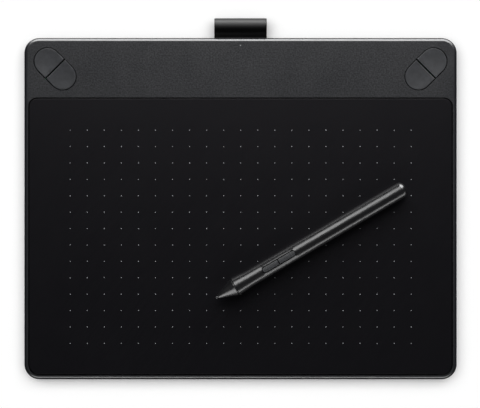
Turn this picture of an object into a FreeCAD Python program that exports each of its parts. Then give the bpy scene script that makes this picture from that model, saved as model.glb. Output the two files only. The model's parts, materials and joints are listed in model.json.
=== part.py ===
"""Pen tablet with its pen: a parametric document, written out as one STEP file for each sub-part.

Millimetres. +X is to the right, +Y away from the user, +Z up. The origin is on the desk, at the middle of
the width and of the depth, pen loop included.
"""
import FreeCAD, Part
import math
import os

import Sketcher
from FreeCAD import Placement, Rotation, Vector

doc = FreeCAD.newDocument("pen_tablet")
NEAR = 0.001  # places closer than this are the same place


# Driving sizes, one cell each
SIZES = {
    # outline of the tablet
    "body_height": 10.5,
    "corner_radius": 9.5,
    "edge_round": 2.4,
    "foot_drop": 0.8,
    "seam_level": 3.6,
    "seam_gap": 0.2,
    "side_wall": 1.8,
    "floor_wall": 1.4,
    "roof_wall": 1.5,
    "shelf_wall": 1.3,
    "base_round": 2.0,
    "lip_wall": 0.9,
    "lip_rise": 1.4,
    "lip_clear": 0.15,
    # drawing surface and the stack under it
    "rim_width": 2.6,
    "sheet_thick": 0.7,
    "sheet_drop": 0.15,
    "sheet_gap": 0.8,
    "sheet_back_radius": 5.8,
    "sheet_edge_round": 0.2,
    "adhesive_thick": 0.15,
    "adhesive_margin": 4.0,
    "active_width": 216.0,
    "active_depth": 135.0,
    "border_side": 29.5,
    "border_end": 20.75,
    "film_thick": 0.3,
    "film_margin": 6.0,
    "sensor_thick": 0.8,
    "sensor_margin_side": 17.0,
    "sensor_margin_end": 9.5,
    "shield_thick": 0.3,
    "shield_inset": 4.0,
    "rib_thick": 1.2,
    "rib_side_inset": 8.0,
    "rib_start_y": 21.0,
    "rib_overrun": 2.0,
    "rib_bay_clear": 7.8,
    "strip_room_round": 1.0,
    # express keys
    "key_offset": 19.75,
    "key_length": 31.4,
    "key_width": 17.7,
    "key_gap": 0.45,
    "key_split": 0.8,
    "key_proud": 0.1,
    "key_dish": 0.5,
    "key_edge_round": 0.25,
    "key_flange": 0.9,
    "key_flange_thick": 0.8,
    "key_flange_clear": 0.3,
    "key_stem_place": 6.2,
    "key_stem_radius": 1.5,
    "key_travel": 0.5,
    "key_switch_side": 4.5,
    "key_switch_tall": 1.6,
    "key_switch_floor": 0.2,
    "key_button_radius": 1.0,
    "key_button_clear": 0.1,
    # case screws and their bosses
    "boss_level": 4.6,
    "base_boss_radius": 3.5,
    "roof_boss_radius": 2.75,
    "screw_head_radius": 2.0,
    "screw_head_tall": 1.3,
    "screw_recess": 2.0,
    "screw_recess_radius": 2.3,
    "screw_shank_radius": 0.8,
    "screw_shank_clear": 0.3,
    "screw_length": 4.4,
    "screw_bite_clear": 0.05,
    "screw_corner_inset": 8.5,
    "screw_edge_inset": 7.0,
    "side_boss_clear": 2.5,
    "screw_back_place": 92.0,
    # feet
    "foot_length": 24.0,
    "foot_width": 8.0,
    "foot_recess": 0.6,
    "foot_clear": 0.15,
    "foot_inset_x": 32.0,
    "foot_inset_y": 16.0,
    # control board
    "board_thick": 1.0,
    "board_level": 3.4,
    "board_inset": 3.4,
    "board_front": 44.0,
    "board_bridge": 11.0,
    "wing_clear": 2.7,
    "bridge_clear": 0.6,
    "board_boss_clear": 0.4,
    "stand_radius": 2.2,
    "board_screw_radius": 0.85,
    "board_screw_head": 1.7,
    "board_screw_head_tall": 1.0,
    "board_screw_length": 2.4,
    "stand_wing_inset": 5.0,
    "stand_side_inset": 9.0,
    "stand_front_inset": 4.0,
    "stand_corner_inset": 3.0,
    "stand_back_inset": 8.0,
    "controller_side": 7.0,
    "memory_side": 5.0,
    "crystal_side": 3.0,
    "radio_side": 6.0,
    "regulator_side": 4.0,
    "choke_side": 3.0,
    "chip_tall": 0.9,
    "choke_tall": 1.2,
    "chip_place": 15.0,
    "chip_step": 10.0,
    "chip_front_row": 31.0,
    "chip_back_row": 20.0,
    "plug_length": 18.0,
    "plug_deep": 4.0,
    "plug_tall": 1.2,
    "ribbon_place": 19.0,
    "ribbon_width": 16.0,
    "ribbon_thick": 0.2,
    "ribbon_rise": 0.4,
    "ribbon_lap": 3.0,
    "ribbon_bend": 0.4,
    # status light
    "light_offset": 4.8,
    "light_radius": 0.4,
    "light_guide_radius": 0.9,
    "light_clear": 0.05,
    "led_length": 1.6,
    "led_width": 0.8,
    "led_tall": 0.6,
    "led_air": 0.3,
    # sockets and controls on the edges
    "switch_level": 5.7,
    "usb_place": 38.0,
    "usb_width": 7.6,
    "usb_tall": 2.5,
    "usb_deep": 5.0,
    "usb_wall": 0.3,
    "usb_inset": 0.3,
    "usb_clear": 0.25,
    "usb_chamfer": 0.8,
    "usb_tongue_width": 5.2,
    "usb_tongue_inset": 1.0,
    "power_place": 27.0,
    "power_length": 7.0,
    "power_tall": 2.2,
    "power_clear": 0.2,
    "power_flange": 0.7,
    "power_flange_thick": 0.7,
    "power_recess": 0.05,
    "power_travel": 0.4,
    "power_stem_radius": 0.8,
    "power_air": 0.1,
    "power_switch_deep": 3.5,
    "power_switch_tall": 2.6,
    "power_switch_wide": 6.0,
    "power_switch_inset": 3.7,
    "touch_from_wing": 14.0,
    "touch_knob_length": 3.4,
    "touch_knob_tall": 1.8,
    "touch_knob_proud": 0.2,
    "touch_knob_deep": 2.1,
    "touch_clear": 0.25,
    "touch_travel": 2.4,
    "touch_stem_wide": 1.4,
    "touch_stem_tall": 1.2,
    "touch_stem_length": 3.0,
    "touch_switch_length": 9.0,
    "touch_switch_deep": 3.5,
    "touch_switch_tall": 2.6,
    "touch_switch_inset": 3.8,
    # accessory compartment
    "bay_width": 112.0,
    "bay_depth": 32.0,
    "battery_length": 58.0,
    "stack_clear": 0.95,
    "bay_wall": 1.1,
    "bay_ledge": 1.2,
    "bay_ceiling": 7.1,
    "bay_ceiling_wall": 0.9,
    "bay_divider": 1.6,
    "module_depth": 19.0,
    "tray_ceiling": 4.2,
    "door_thick": 1.5,
    "door_clear": 0.3,
    "door_seat_clear": 0.1,
    "door_corner": 2.5,
    "door_tab_width": 8.0,
    "door_tab_reach": 1.2,
    "door_tab_thick": 0.7,
    "door_tab_place": 36.0,
    "door_latch_width": 14.0,
    "door_latch_length": 9.0,
    "door_latch_cut": 0.7,
    "door_latch_nub": 0.15,
    "spare_nib_pitch": 2.6,
    "spare_nib_level": 4.5,
    "spare_nib_clear": 0.08,
    "remover_radius": 3.8,
    "remover_bore": 1.8,
    "remover_thick": 1.5,
    "remover_peg_clear": 0.1,
    "remover_inset": 4.0,
    "nib_place_inset": 2.0,
    "nib_groove_spare": 0.5,
    "spare_nib_round": 0.45,
    "contact_thick": 0.4,
    "contact_width": 2.4,
    "contact_tall": 3.2,
    "contact_pitch": 6.0,
    "connector_deep": 3.0,
    "connector_length": 12.0,
    "connector_tall": 2.4,
    # pen loop
    "loop_reach": 12.8,
    "loop_width": 33.3,
    "loop_thick": 1.0,
    "loop_bend": 5.3,
    "loop_level": 6.4,
    "loop_throat": 1.0,
    "loop_ply_gap": 0.1,
    "loop_slot_clear": 0.15,
    "retainer_thick": 1.4,
    "retainer_margin": 1.4,
    "retainer_rim": 0.5,
    # pen
    "pen_length": 138.7,
    "pen_turn": 30.2,
    "pen_tip_x": -15.7,
    "pen_tip_y": -62.83,
    "pen_rest_gap": 0.1,
    "nib_radius": 0.75,
    "nib_length": 22.8,
    "nib_bare": 2.0,
    "nib_travel": 0.3,
    "nib_tip_flat": 0.3,
    "nib_tip_turn": 0.22,
    "nib_tip_shoulder": 0.6,
    "cone_tip_radius": 1.25,
    "cone_base_radius": 5.5,
    "cone_end": 13.6,
    "cone_wall": 1.0,
    "cone_clear": 0.1,
    "cone_spigot": 3.5,
    "collar_width": 0.8,
    "collar_radius": 5.0,
    "barrel_front_radius": 5.9,
    "barrel_waist_radius": 5.15,
    "barrel_tail_radius": 5.05,
    "barrel_waist_place": 25.0,
    "barrel_bore": 4.2,
    "barrel_lip": 0.25,
    "tail_cap_show": 4.2,
    "tail_round": 3.6,
    "tail_plug": 5.0,
    "fit_clear": 0.05,
    "switch_start": 33.8,
    "switch_end": 58.3,
    "switch_divide": 45.8,
    "switch_width": 4.4,
    "switch_gap": 0.6,
    "switch_split": 0.7,
    "switch_crown": 5.55,
    "switch_air": 0.1,
    "switch_tab_width": 2.6,
    "switch_tab_reach": 1.0,
    "switch_tab_thick": 0.5,
    "switch_travel": 0.3,
    "dome_radius": 1.6,
    "dome_tall": 0.3,
    "pen_board_level": 1.5,
    "pen_board_thick": 0.8,
    "pen_board_width": 6.0,
    "pen_board_start": 32.0,
    "pen_board_length": 66.0,
    "chassis_radius": 4.05,
    "chassis_wall": 1.1,
    "chassis_over": 2.0,
    "ferrite_start": 10.5,
    "ferrite_length": 12.0,
    "ferrite_radius": 2.0,
    "ferrite_bore": 0.95,
    "coil_radius": 2.9,
    "coil_length": 8.0,
    "pressure_radius": 3.6,
    "pressure_length": 6.0,
}

# Sizes that follow from those above. The strip covers the accessory bay and the bridge of the control
# board, and the side switch stands off its domes by its travel.
DERIVED = {
    "body_width": "( active_width + 2 * border_side )",
    "body_depth": "( strip_depth + rim_width + active_depth + 2 * border_end )",
    "strip_depth": "( sensor_margin_end - border_end + stack_clear + bay_depth + bay_rim + bay_back )",
    "bay_rim": "( bay_ledge + bay_wall )",
    "bay_back": "( bay_rim + bridge_clear + board_bridge )",
    "board_wing": "( bay_width / 2 + bay_rim + wing_clear )",
    "touch_place": "( board_wing + touch_from_wing )",
    "rib_back": "( bay_back + bay_depth + bay_rim + rib_bay_clear )",
    "screw_side_place": "( board_front + base_boss_radius + side_boss_clear )",
    "dome_top": "( pen_board_level + pen_board_thick + dome_tall )",
    "switch_under": "( dome_top + switch_air + switch_travel + switch_tab_thick )",
}

cells = doc.addObject("Spreadsheet::Sheet", "Sizes")
for row, (alias, number) in enumerate(SIZES.items(), start=1):
    cells.set(f"A{row}", alias)
    cells.set(f"B{row}", str(number))
    cells.setAlias(f"B{row}", alias)
doc.recompute()


def named(expression):
    """The expression with derived sizes written out and every bare size name pointed at the sheet."""
    words = expression.replace("(", " ( ").replace(")", " ) ").split()
    while any(word in DERIVED for word in words):
        words = " ".join(DERIVED.get(word, word) for word in words).split()
    return " ".join(f"Sizes.{word}" if word in SIZES else word for word in words)


def value(expression):
    """What an expression in the sheet's sizes comes to, in millimetres."""
    found = cells.evalExpression(named(str(expression)))
    return float(getattr(found, "Value", found))


def bind(thing, path, expression):
    thing.setExpression(path, named(str(expression)))


# Places that many pieces share
SIDE = "( body_width / 2 )"
BACK = "( body_depth / 2 - loop_reach / 2 )"
FRONT = "( 0 - body_depth / 2 - loop_reach / 2 )"
MIDDLE = "( 0 - loop_reach / 2 )"
TOP = "body_height"
BASE = "foot_drop"
BASE_TOP = "( seam_level - seam_gap / 2 )"
COVER_UNDER = "( seam_level + seam_gap / 2 )"
FLOOR = "( foot_drop + floor_wall )"
ROOF = "( body_height - roof_wall )"
SHEET_TOP = "( body_height - sheet_drop )"
SHEET_UNDER = "( body_height - sheet_drop - sheet_thick )"
SHEET_SEAT = "( body_height - sheet_drop - sheet_thick - adhesive_thick )"
SHELF_UNDER = "( body_height - sheet_drop - sheet_thick - adhesive_thick - shelf_wall )"
FILM_UNDER = f"( {SHELF_UNDER} - film_thick )"
SENSOR_UNDER = f"( {FILM_UNDER} - sensor_thick )"
SHIELD_UNDER = f"( {SENSOR_UNDER} - shield_thick )"
SHEET_MIDDLE = f"( ( {BACK} - strip_depth + {FRONT} + rim_width ) / 2 )"
SHEET_DEPTH = "( body_depth - strip_depth - rim_width )"
BOARD_TOP = "( board_level + board_thick )"
LIP_INSET = "( side_wall + lip_clear )"
LIP_INNER = "( side_wall + lip_clear + lip_wall )"
BAY_MIDDLE = f"( {BACK} - bay_back - bay_depth / 2 )"
BAY_SEAT = "( foot_drop + door_thick + door_seat_clear )"
BAY_FRONT = f"( {BACK} - bay_back - bay_depth )"


# Helpers that draw sketches
def body(label):
    made = doc.addObject("PartDesign::Body", label)
    made.Label = label
    return made


def plane_of(owner, role):
    return next(f for f in owner.Origin.OriginFeatures if getattr(f, "Role", "") == role)


def sketch_on(owner, name, role="XY_Plane", x="0", y="0", z="0", turn=0.0):
    """A sketch on one of the body's own planes, moved by x and y in the plane and z along its normal."""
    drawn = owner.newObject("Sketcher::SketchObject", name)
    drawn.AttachmentSupport = (plane_of(owner, role), [""])
    drawn.MapMode = "FlatFace"
    drawn.AttachmentOffset = Placement(Vector(0, 0, 0), Rotation(Vector(0, 0, 1), turn))
    for axis, place in (("x", x), ("y", y), ("z", z)):
        if str(place) != "0":
            bind(drawn, f"AttachmentOffset.Base.{axis}", place)
    return drawn


def constrain(drawn, *facts, size=None):
    """Adds one constraint; with size, its value follows that expression."""
    if size is None:
        return drawn.addConstraint(Sketcher.Constraint(*facts))
    index = drawn.addConstraint(Sketcher.Constraint(*facts, value(size)))
    bind(drawn, f"Constraints[{index}]", size)
    return index


def line(x0, y0, x1, y1):
    return Part.LineSegment(Vector(x0, y0, 0), Vector(x1, y1, 0))


def arc(x, y, radius, first, last):
    circle = Part.Circle(Vector(x, y, 0), Vector(0, 0, 1), radius)
    return Part.ArcOfCircle(circle, math.radians(first), math.radians(last))


def rounded_rectangle(drawn, width, depth, back_radius, front_radius=None):
    """A rectangle about the sketch's own origin, its back and front corners rounded."""
    front_radius = front_radius or back_radius
    w, d = value(width) / 2, value(depth) / 2
    rb, rf = value(back_radius), value(front_radius)
    front = drawn.addGeometry(line(rf - w, -d, w - rf, -d))
    front_right = drawn.addGeometry(arc(w - rf, rf - d, rf, -90, 0))
    right = drawn.addGeometry(line(w, rf - d, w, d - rb))
    back_right = drawn.addGeometry(arc(w - rb, d - rb, rb, 0, 90))
    back = drawn.addGeometry(line(w - rb, d, rb - w, d))
    back_left = drawn.addGeometry(arc(rb - w, d - rb, rb, 90, 180))
    left = drawn.addGeometry(line(-w, d - rb, -w, rf - d))
    front_left = drawn.addGeometry(arc(rf - w, rf - d, rf, 180, 270))
    ring = [front, front_right, right, back_right, back, back_left, left, front_left]
    for one, following in zip(ring, ring[1:] + ring[:1]):
        constrain(drawn, "Tangent", one, 2, following, 1)
    constrain(drawn, "Horizontal", back)
    for upright in (left, right):
        constrain(drawn, "Vertical", upright)
    constrain(drawn, "Equal", front_right, front_left)
    constrain(drawn, "Equal", back_right, back_left)
    constrain(drawn, "Radius", front_right, size=front_radius)
    constrain(drawn, "Radius", back_right, size=back_radius)
    constrain(drawn, "Symmetric", front, 1, front, 2, -2)
    constrain(drawn, "DistanceX", left, 1, right, 1, size=width)
    constrain(drawn, "DistanceY", front, 1, back, 1, size=depth)
    constrain(drawn, "DistanceY", front, 1, -1, 1, size=f"( {depth} ) / 2")


def rectangle(drawn, width, depth):
    """A plain rectangle about the sketch's own origin."""
    w, d = value(width) / 2, value(depth) / 2
    sides = [
        drawn.addGeometry(line(*ends))
        for ends in ((-w, -d, w, -d), (w, -d, w, d), (w, d, -w, d), (-w, d, -w, -d))
    ]
    for one, following in zip(sides, sides[1:] + sides[:1]):
        constrain(drawn, "Coincident", one, 2, following, 1)
    for level, upright in zip(sides[0::2], sides[1::2]):
        constrain(drawn, "Horizontal", level)
        constrain(drawn, "Vertical", upright)
    constrain(drawn, "Symmetric", sides[0], 1, sides[2], 1, -1, 1)
    constrain(drawn, "DistanceX", sides[0], 1, sides[0], 2, size=width)
    constrain(drawn, "DistanceY", sides[1], 1, sides[1], 2, size=depth)


def capsule(drawn, length, width):
    """Two half circles joined by straight sides, along the sketch's X."""
    reach, r = value(length) / 2, value(width) / 2
    right = drawn.addGeometry(arc(reach - r, 0, r, -90, 90))
    upper = drawn.addGeometry(line(reach - r, r, r - reach, r))
    left = drawn.addGeometry(arc(r - reach, 0, r, 90, 270))
    lower = drawn.addGeometry(line(r - reach, -r, reach - r, -r))
    ring = [right, upper, left, lower]
    for one, following in zip(ring, ring[1:] + ring[:1]):
        constrain(drawn, "Tangent", one, 2, following, 1)
    constrain(drawn, "Symmetric", right, 3, left, 3, -1, 1)
    constrain(drawn, "PointOnObject", right, 3, -1)
    constrain(drawn, "Equal", right, left)
    constrain(drawn, "Radius", right, size=f"( {width} ) / 2")
    constrain(drawn, "DistanceX", left, 3, right, 3, size=f"( {length} ) - ( {width} )")


def half_capsule(drawn, start, reach, width):
    """The part of a capsule from a straight cut at start to its round end at reach, along X."""
    x0, x1, r = value(start), value(reach), value(width) / 2
    end = drawn.addGeometry(arc(x1 - r, 0, r, -90, 90))
    upper = drawn.addGeometry(line(x1 - r, r, x0, r))
    cut = drawn.addGeometry(line(x0, r, x0, -r))
    lower = drawn.addGeometry(line(x0, -r, x1 - r, -r))
    constrain(drawn, "Tangent", end, 2, upper, 1)
    constrain(drawn, "Tangent", lower, 2, end, 1)
    constrain(drawn, "Coincident", upper, 2, cut, 1)
    constrain(drawn, "Coincident", cut, 2, lower, 1)
    constrain(drawn, "Vertical", cut)
    constrain(drawn, "Horizontal", upper)
    constrain(drawn, "Horizontal", lower)
    constrain(drawn, "PointOnObject", end, 3, -1)
    constrain(drawn, "Radius", end, size=f"( {width} ) / 2")
    constrain(drawn, "DistanceX", -1, 1, cut, 1, size=start)
    constrain(drawn, "DistanceX", -1, 1, end, 3, size=f"( {reach} ) - ( {width} ) / 2")


def discs(drawn, radius, places=(("0", "0"),)):
    """Circles of one radius, at places given as expressions."""
    for x, y in places:
        circle = Part.Circle(Vector(value(x), value(y), 0), Vector(0, 0, 1), value(radius))
        made = drawn.addGeometry(circle)
        constrain(drawn, "Radius", made, size=radius)
        for kind, place, axis in (("DistanceX", x, -2), ("DistanceY", y, -1)):
            if str(place) == "0":
                constrain(drawn, "PointOnObject", made, 3, axis)
            else:
                constrain(drawn, kind, -1, 1, made, 3, size=place)


def outline(drawn, corners):
    """A closed outline of straight sides, its corners given as expressions."""
    points = [(value(x), value(y)) for x, y in corners]
    sides = [
        drawn.addGeometry(line(*here, *there))
        for here, there in zip(points, points[1:] + points[:1])
    ]
    for one, following in zip(sides, sides[1:] + sides[:1]):
        constrain(drawn, "Coincident", one, 2, following, 1)
    for side, (x, y) in zip(sides, corners):
        for kind, place, axis in (("DistanceX", x, -2), ("DistanceY", y, -1)):
            if str(place) == "0":
                constrain(drawn, "PointOnObject", side, 1, axis)
            else:
                constrain(drawn, kind, -1, 1, side, 1, size=place)


# Helpers that make features
def pad(owner, drawn, length, name, reverse=False):
    made = owner.newObject("PartDesign::Pad", name)
    made.Profile = drawn
    bind(made, "Length", length)
    made.Reversed = reverse
    made.Refine = False
    return made


def pocket(owner, drawn, length, name, reverse=False, both=False):
    """Cuts against the sketch's normal, along it with reverse, or half each way with both."""
    made = owner.newObject("PartDesign::Pocket", name)
    made.Profile = drawn
    bind(made, "Length", length)
    made.Reversed = reverse
    made.Midplane = both
    made.Refine = False
    return made


def revolve(owner, drawn, name, cut=False):
    """Turns a profile about the body's own X axis."""
    made = owner.newObject("PartDesign::Groove" if cut else "PartDesign::Revolution", name)
    made.Profile = drawn
    made.ReferenceAxis = (plane_of(owner, "X_Axis"), [""])
    made.Angle = 360
    return made


def row_of(owner, feature, axis, pitch, count, name):
    """Repeats a feature along one of the body's own axes."""
    made = owner.newObject("PartDesign::LinearPattern", name)
    made.Originals = [feature]
    made.Direction = (plane_of(owner, axis), [""])
    made.Occurrences = count
    bind(made, "Length", f"( {pitch} ) * {count - 1}")
    owner.Tip = made
    return made


def edges_where(feature, wanted):
    """Names of the feature's edges for which wanted(edge) holds."""
    doc.recompute()
    return [f"Edge{n}" for n, e in enumerate(feature.Shape.Edges, start=1) if wanted(e)]


def at_level(level):
    """A test for edges that lie flat at a height."""
    height = value(level)
    return lambda e: all(abs(z - height) < NEAR for z in [e.CenterOfMass.z] + [v.Z for v in e.Vertexes])


def ease(owner, feature, wanted, radius, name, kind="Fillet"):
    """Rounds, or with kind Chamfer bevels, the feature's edges that wanted picks."""
    picked = edges_where(feature, wanted)
    made = owner.newObject(f"PartDesign::{kind}", name)
    made.Base = (feature, picked)
    bind(made, "Radius" if kind == "Fillet" else "Size", radius)
    return made


def block(label, width, depth, tall, x="0", y="0", z="0"):
    """A plain cuboid centred on x and y, its underside at z."""
    made = doc.addObject("Part::Box", label)
    made.Label = label
    for path, size in (("Length", width), ("Width", depth), ("Height", tall)):
        bind(made, path, size)
    bind(made, "Placement.Base.x", f"{x} - ( {width} ) / 2")
    bind(made, "Placement.Base.y", f"{y} - ( {depth} ) / 2")
    bind(made, "Placement.Base.z", z)
    return made


def solid_box(width, depth, tall, x, y, z):
    """A bare cuboid shape, centred on x and y with its underside at z, for pieces made of several solids."""
    w, d = value(width), value(depth)
    return Part.makeBox(w, d, value(tall), Vector(value(x) - w / 2, value(y) - d / 2, value(z)))


def feature_of(label, shape):
    made = doc.addObject("Part::Feature", label)
    made.Label = label
    made.Shape = shape
    made.Placement = Placement()
    return made


SUBPARTS = []


def keep(thing):
    """Marks an object of the document as a sub-part; the last feature of a body merges its coplanar faces."""
    if thing.TypeId == "PartDesign::Body":
        thing.Tip.Refine = True
    SUBPARTS.append(thing)
    return thing


# Positions of the case screws: the two that pass the control board come last
SIDE_SCREW = f"( {SIDE} - screw_edge_inset )"
CORNER_SCREW = f"( {SIDE} - screw_corner_inset )"
SHELF_SCREWS = [
    (f"0 - {CORNER_SCREW}", f"{FRONT} + screw_corner_inset"),
    (CORNER_SCREW, f"{FRONT} + screw_corner_inset"),
    ("0", f"{FRONT} + screw_edge_inset"),
    (f"0 - {SIDE_SCREW}", f"{BACK} - screw_side_place"),
    (SIDE_SCREW, f"{BACK} - screw_side_place"),
]
STRIP_SCREWS = [
    ("0 - screw_back_place", f"{BACK} - screw_edge_inset"),
    ("screw_back_place", f"{BACK} - screw_edge_inset"),
]
CASE_SCREWS = SHELF_SCREWS + STRIP_SCREWS

FEET = [
    (f"{sign} ( {SIDE} - foot_inset_x )", place)
    for sign in ("0 -", "")
    for place in (f"{FRONT} + foot_inset_y", f"{BACK} - foot_inset_y")
]

BOARD_SCREWS = [
    (f"{sign} ( {place} )", f"{BACK} - {back}")
    for sign in ("0 -", "")
    for place, back in (
        ("board_wing + stand_wing_inset", "( board_front - stand_front_inset )"),
        (f"{SIDE} - stand_side_inset", "( board_front - stand_corner_inset )"),
        ("board_wing + stand_wing_inset", "stand_back_inset"),
    )
]


def mouth_sketch(owner, name, wall, along, level):
    """A sketch on the middle of the left or the back wall, for an opening through it."""
    if wall == "left":
        return sketch_on(owner, name, "YZ_Plane", x=along, y=level, z=f"side_wall / 2 - {SIDE}")
    return sketch_on(owner, name, "XZ_Plane", x=along, y=level, z=f"side_wall / 2 - {BACK}")


# The case
def bottom_cover():
    owner = body("bottom_cover")
    shell = sketch_on(owner, "BaseOutline", y=MIDDLE, z=BASE)
    rounded_rectangle(shell, "body_width", "body_depth", "corner_radius")
    tray = pad(owner, shell, f"{BASE_TOP} - {BASE}", "Tray")
    ease(owner, tray, at_level(BASE), "base_round", "BaseRounding")

    hollow = sketch_on(owner, "BaseHollow", y=MIDDLE, z=BASE_TOP)
    inset_outline(hollow, LIP_INNER)
    pocket(owner, hollow, f"{BASE_TOP} - {FLOOR}", "Hollow")
    lip = sketch_on(owner, "LipRing", y=MIDDLE, z=BASE_TOP)
    inset_outline(lip, LIP_INSET)
    inset_outline(lip, LIP_INNER)
    pad(owner, lip, "seam_gap + lip_rise", "Lip")

    # Screw bosses and board stands
    bosses = sketch_on(owner, "ScrewBosses", z=FLOOR)
    discs(bosses, "base_boss_radius", CASE_SCREWS)
    pad(owner, bosses, f"boss_level - {FLOOR}", "Bosses")
    stands = sketch_on(owner, "BoardStands", z=FLOOR)
    discs(stands, "stand_radius", BOARD_SCREWS)
    pad(owner, stands, f"board_level - {FLOOR}", "Stands")

    cut_fastenings(owner)
    cut_door_recess(owner, BASE)
    cut_lip(owner)
    return keep(owner)


def inset_outline(drawn, inset):
    """The tablet's outline, drawn in by inset."""
    width = f"body_width - 2 * {inset}"
    depth = f"body_depth - 2 * {inset}"
    rounded_rectangle(drawn, width, depth, f"corner_radius - {inset}")


def cut_fastenings(owner):
    """Screw holes, pilot holes of the board and seats of the feet."""
    recess = sketch_on(owner, "HeadRecess", z=BASE)
    discs(recess, "screw_recess_radius", CASE_SCREWS)
    pocket(owner, recess, "screw_recess", "HeadRecesses", reverse=True)
    passing = sketch_on(owner, "ScrewPass", z=BASE)
    discs(passing, "screw_shank_radius + screw_shank_clear", CASE_SCREWS)
    pocket(owner, passing, "body_height", "ScrewPasses", reverse=True)
    pilots = sketch_on(owner, "BoardPilot", z="board_level")
    discs(pilots, "board_screw_radius + screw_bite_clear", BOARD_SCREWS)
    pocket(owner, pilots, "board_screw_length - board_thick + screw_bite_clear", "BoardPilots")
    for number, (x, y) in enumerate(FEET, start=1):
        seat = sketch_on(owner, f"FootSeat{number}", x=x, y=y, z=BASE)
        capsule(seat, "foot_length + 2 * foot_clear", "foot_width + 2 * foot_clear")
        pocket(owner, seat, "foot_recess", f"FootSeatCut{number}", reverse=True)


LONG_RIBS = 6
CROSS_RIBS = 4


def sensor_support():
    """A lattice of ribs, glued to the floor, that carries the sensor and its shield."""
    owner = body("sensor_support")
    rib_depth = f"( body_depth - rib_back - {LIP_INNER} - rib_start_y / 2 )"
    rib_middle = f"{FRONT} + {LIP_INNER} + rib_start_y / 2 + {rib_depth} / 2"
    long_rib = sketch_on(owner, "LongRib", x="rib_side_inset - active_width / 2", y=rib_middle, z=FLOOR)
    rectangle(long_rib, "rib_thick", rib_depth)
    first = pad(owner, long_rib, f"{SHIELD_UNDER} - {FLOOR}", "LongRibs")
    pitch = f"( active_width - 2 * rib_side_inset ) / {LONG_RIBS - 1}"
    row_of(owner, first, "X_Axis", pitch, LONG_RIBS, "LongRibRow")
    cross_rib = sketch_on(owner, "CrossRib", y=f"{FRONT} + rib_start_y", z=FLOOR)
    rectangle(cross_rib, "active_width + 2 * shield_inset", "rib_thick")
    across = pad(owner, cross_rib, f"{SHIELD_UNDER} - {FLOOR}", "CrossRibs")
    pitch = f"( body_depth - rib_start_y - rib_overrun - rib_back ) / {CROSS_RIBS - 1}"
    row_of(owner, across, "Y_Axis", pitch, CROSS_RIBS, "CrossRibRow")
    return keep(owner)


# Places inside the accessory bay
BATTERY_X = "( battery_length / 2 - bay_width / 2 )"
SIDE_BAY_WIDTH = "( bay_width - battery_length - bay_divider )"
SIDE_BAY_X = f"( bay_width / 2 - {SIDE_BAY_WIDTH} / 2 )"
MODULE_Y = f"( {BACK} - bay_back - module_depth / 2 )"
TRAY_DEPTH = "( bay_depth - module_depth - bay_divider )"
TRAY_Y = f"( {BAY_FRONT} + {TRAY_DEPTH} / 2 )"
HINGE_Y = f"( {BAY_FRONT} - bay_ledge + door_clear )"
NIB_PLACE_X = f"( {SIDE_BAY_X} - {SIDE_BAY_WIDTH} / 2 + nib_length / 2 + nib_place_inset )"
REMOVER_X = f"( {SIDE_BAY_X} + {SIDE_BAY_WIDTH} / 2 - remover_radius - remover_inset )"
NIB_ROWS = ["0 - spare_nib_pitch", "0", "spare_nib_pitch"]


def cut_door_recess(owner, under):
    """The recess of the door from a level up, with the pockets inside which its tabs swing up as it opens."""
    seat = sketch_on(owner, "DoorSeat", y=BAY_MIDDLE, z=under)
    rounded_rectangle(seat, "bay_width + 2 * bay_ledge", "bay_depth + 2 * bay_ledge", "door_corner")
    pocket(owner, seat, f"{BAY_SEAT} - {under}", "DoorRecess", reverse=True)
    swing = "( door_tab_reach + door_thick + door_seat_clear )"
    middle = f"{HINGE_Y} - door_tab_reach / 2 + {swing} / 2 - door_clear"
    for side in ("0 - door_tab_place", "door_tab_place"):
        slot = sketch_on(owner, "TabSlot", x=side, y=middle,
                         z=f"{BASE} + door_thick - door_tab_thick - door_seat_clear")
        rectangle(slot, "door_tab_width + 2 * door_clear", f"door_tab_reach + {swing}")
        pocket(owner, slot, f"{swing} - door_thick + door_tab_thick + door_clear", "TabPocket", reverse=True)


def compartment_tub():
    """A tub welded onto the floor of the bottom cover: three bays, nib grooves and the nib remover's peg."""
    owner = body("compartment_tub")
    walls = sketch_on(owner, "TubWalls", y=BAY_MIDDLE, z=FLOOR)
    rim = "2 * bay_rim"
    rounded_rectangle(walls, f"bay_width + {rim}", f"bay_depth + {rim}", "door_corner + bay_wall")
    pad(owner, walls, f"bay_ceiling + bay_ceiling_wall - {FLOOR}", "TubBlock")
    cut_door_recess(owner, FLOOR)
    bays = [
        ("Battery", BATTERY_X, BAY_MIDDLE, "battery_length", "bay_depth", "bay_ceiling"),
        ("Module", SIDE_BAY_X, MODULE_Y, SIDE_BAY_WIDTH, "module_depth", "bay_ceiling"),
        ("Tray", SIDE_BAY_X, TRAY_Y, SIDE_BAY_WIDTH, TRAY_DEPTH, "tray_ceiling"),
    ]
    for name, x, y, width, depth, ceiling in bays:
        opening = sketch_on(owner, f"{name}Opening", x=x, y=y, z=FLOOR)
        rectangle(opening, width, depth)
        pocket(owner, opening, f"{ceiling} - {FLOOR}", f"{name}Bay", reverse=True)
    grooves = sketch_on(owner, "NibGroove", "YZ_Plane", x=TRAY_Y, y="spare_nib_level", z=NIB_PLACE_X)
    discs(grooves, "nib_radius + spare_nib_clear", [(row, "0") for row in NIB_ROWS])
    pocket(owner, grooves, "nib_length + 2 * nib_groove_spare", "NibGrooves", both=True)
    peg = sketch_on(owner, "RemoverPeg", x=REMOVER_X, y=TRAY_Y, z="tray_ceiling")
    discs(peg, "remover_bore - remover_peg_clear")
    pad(owner, peg, "remover_thick", "Peg", reverse=True)
    return keep(owner)


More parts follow.
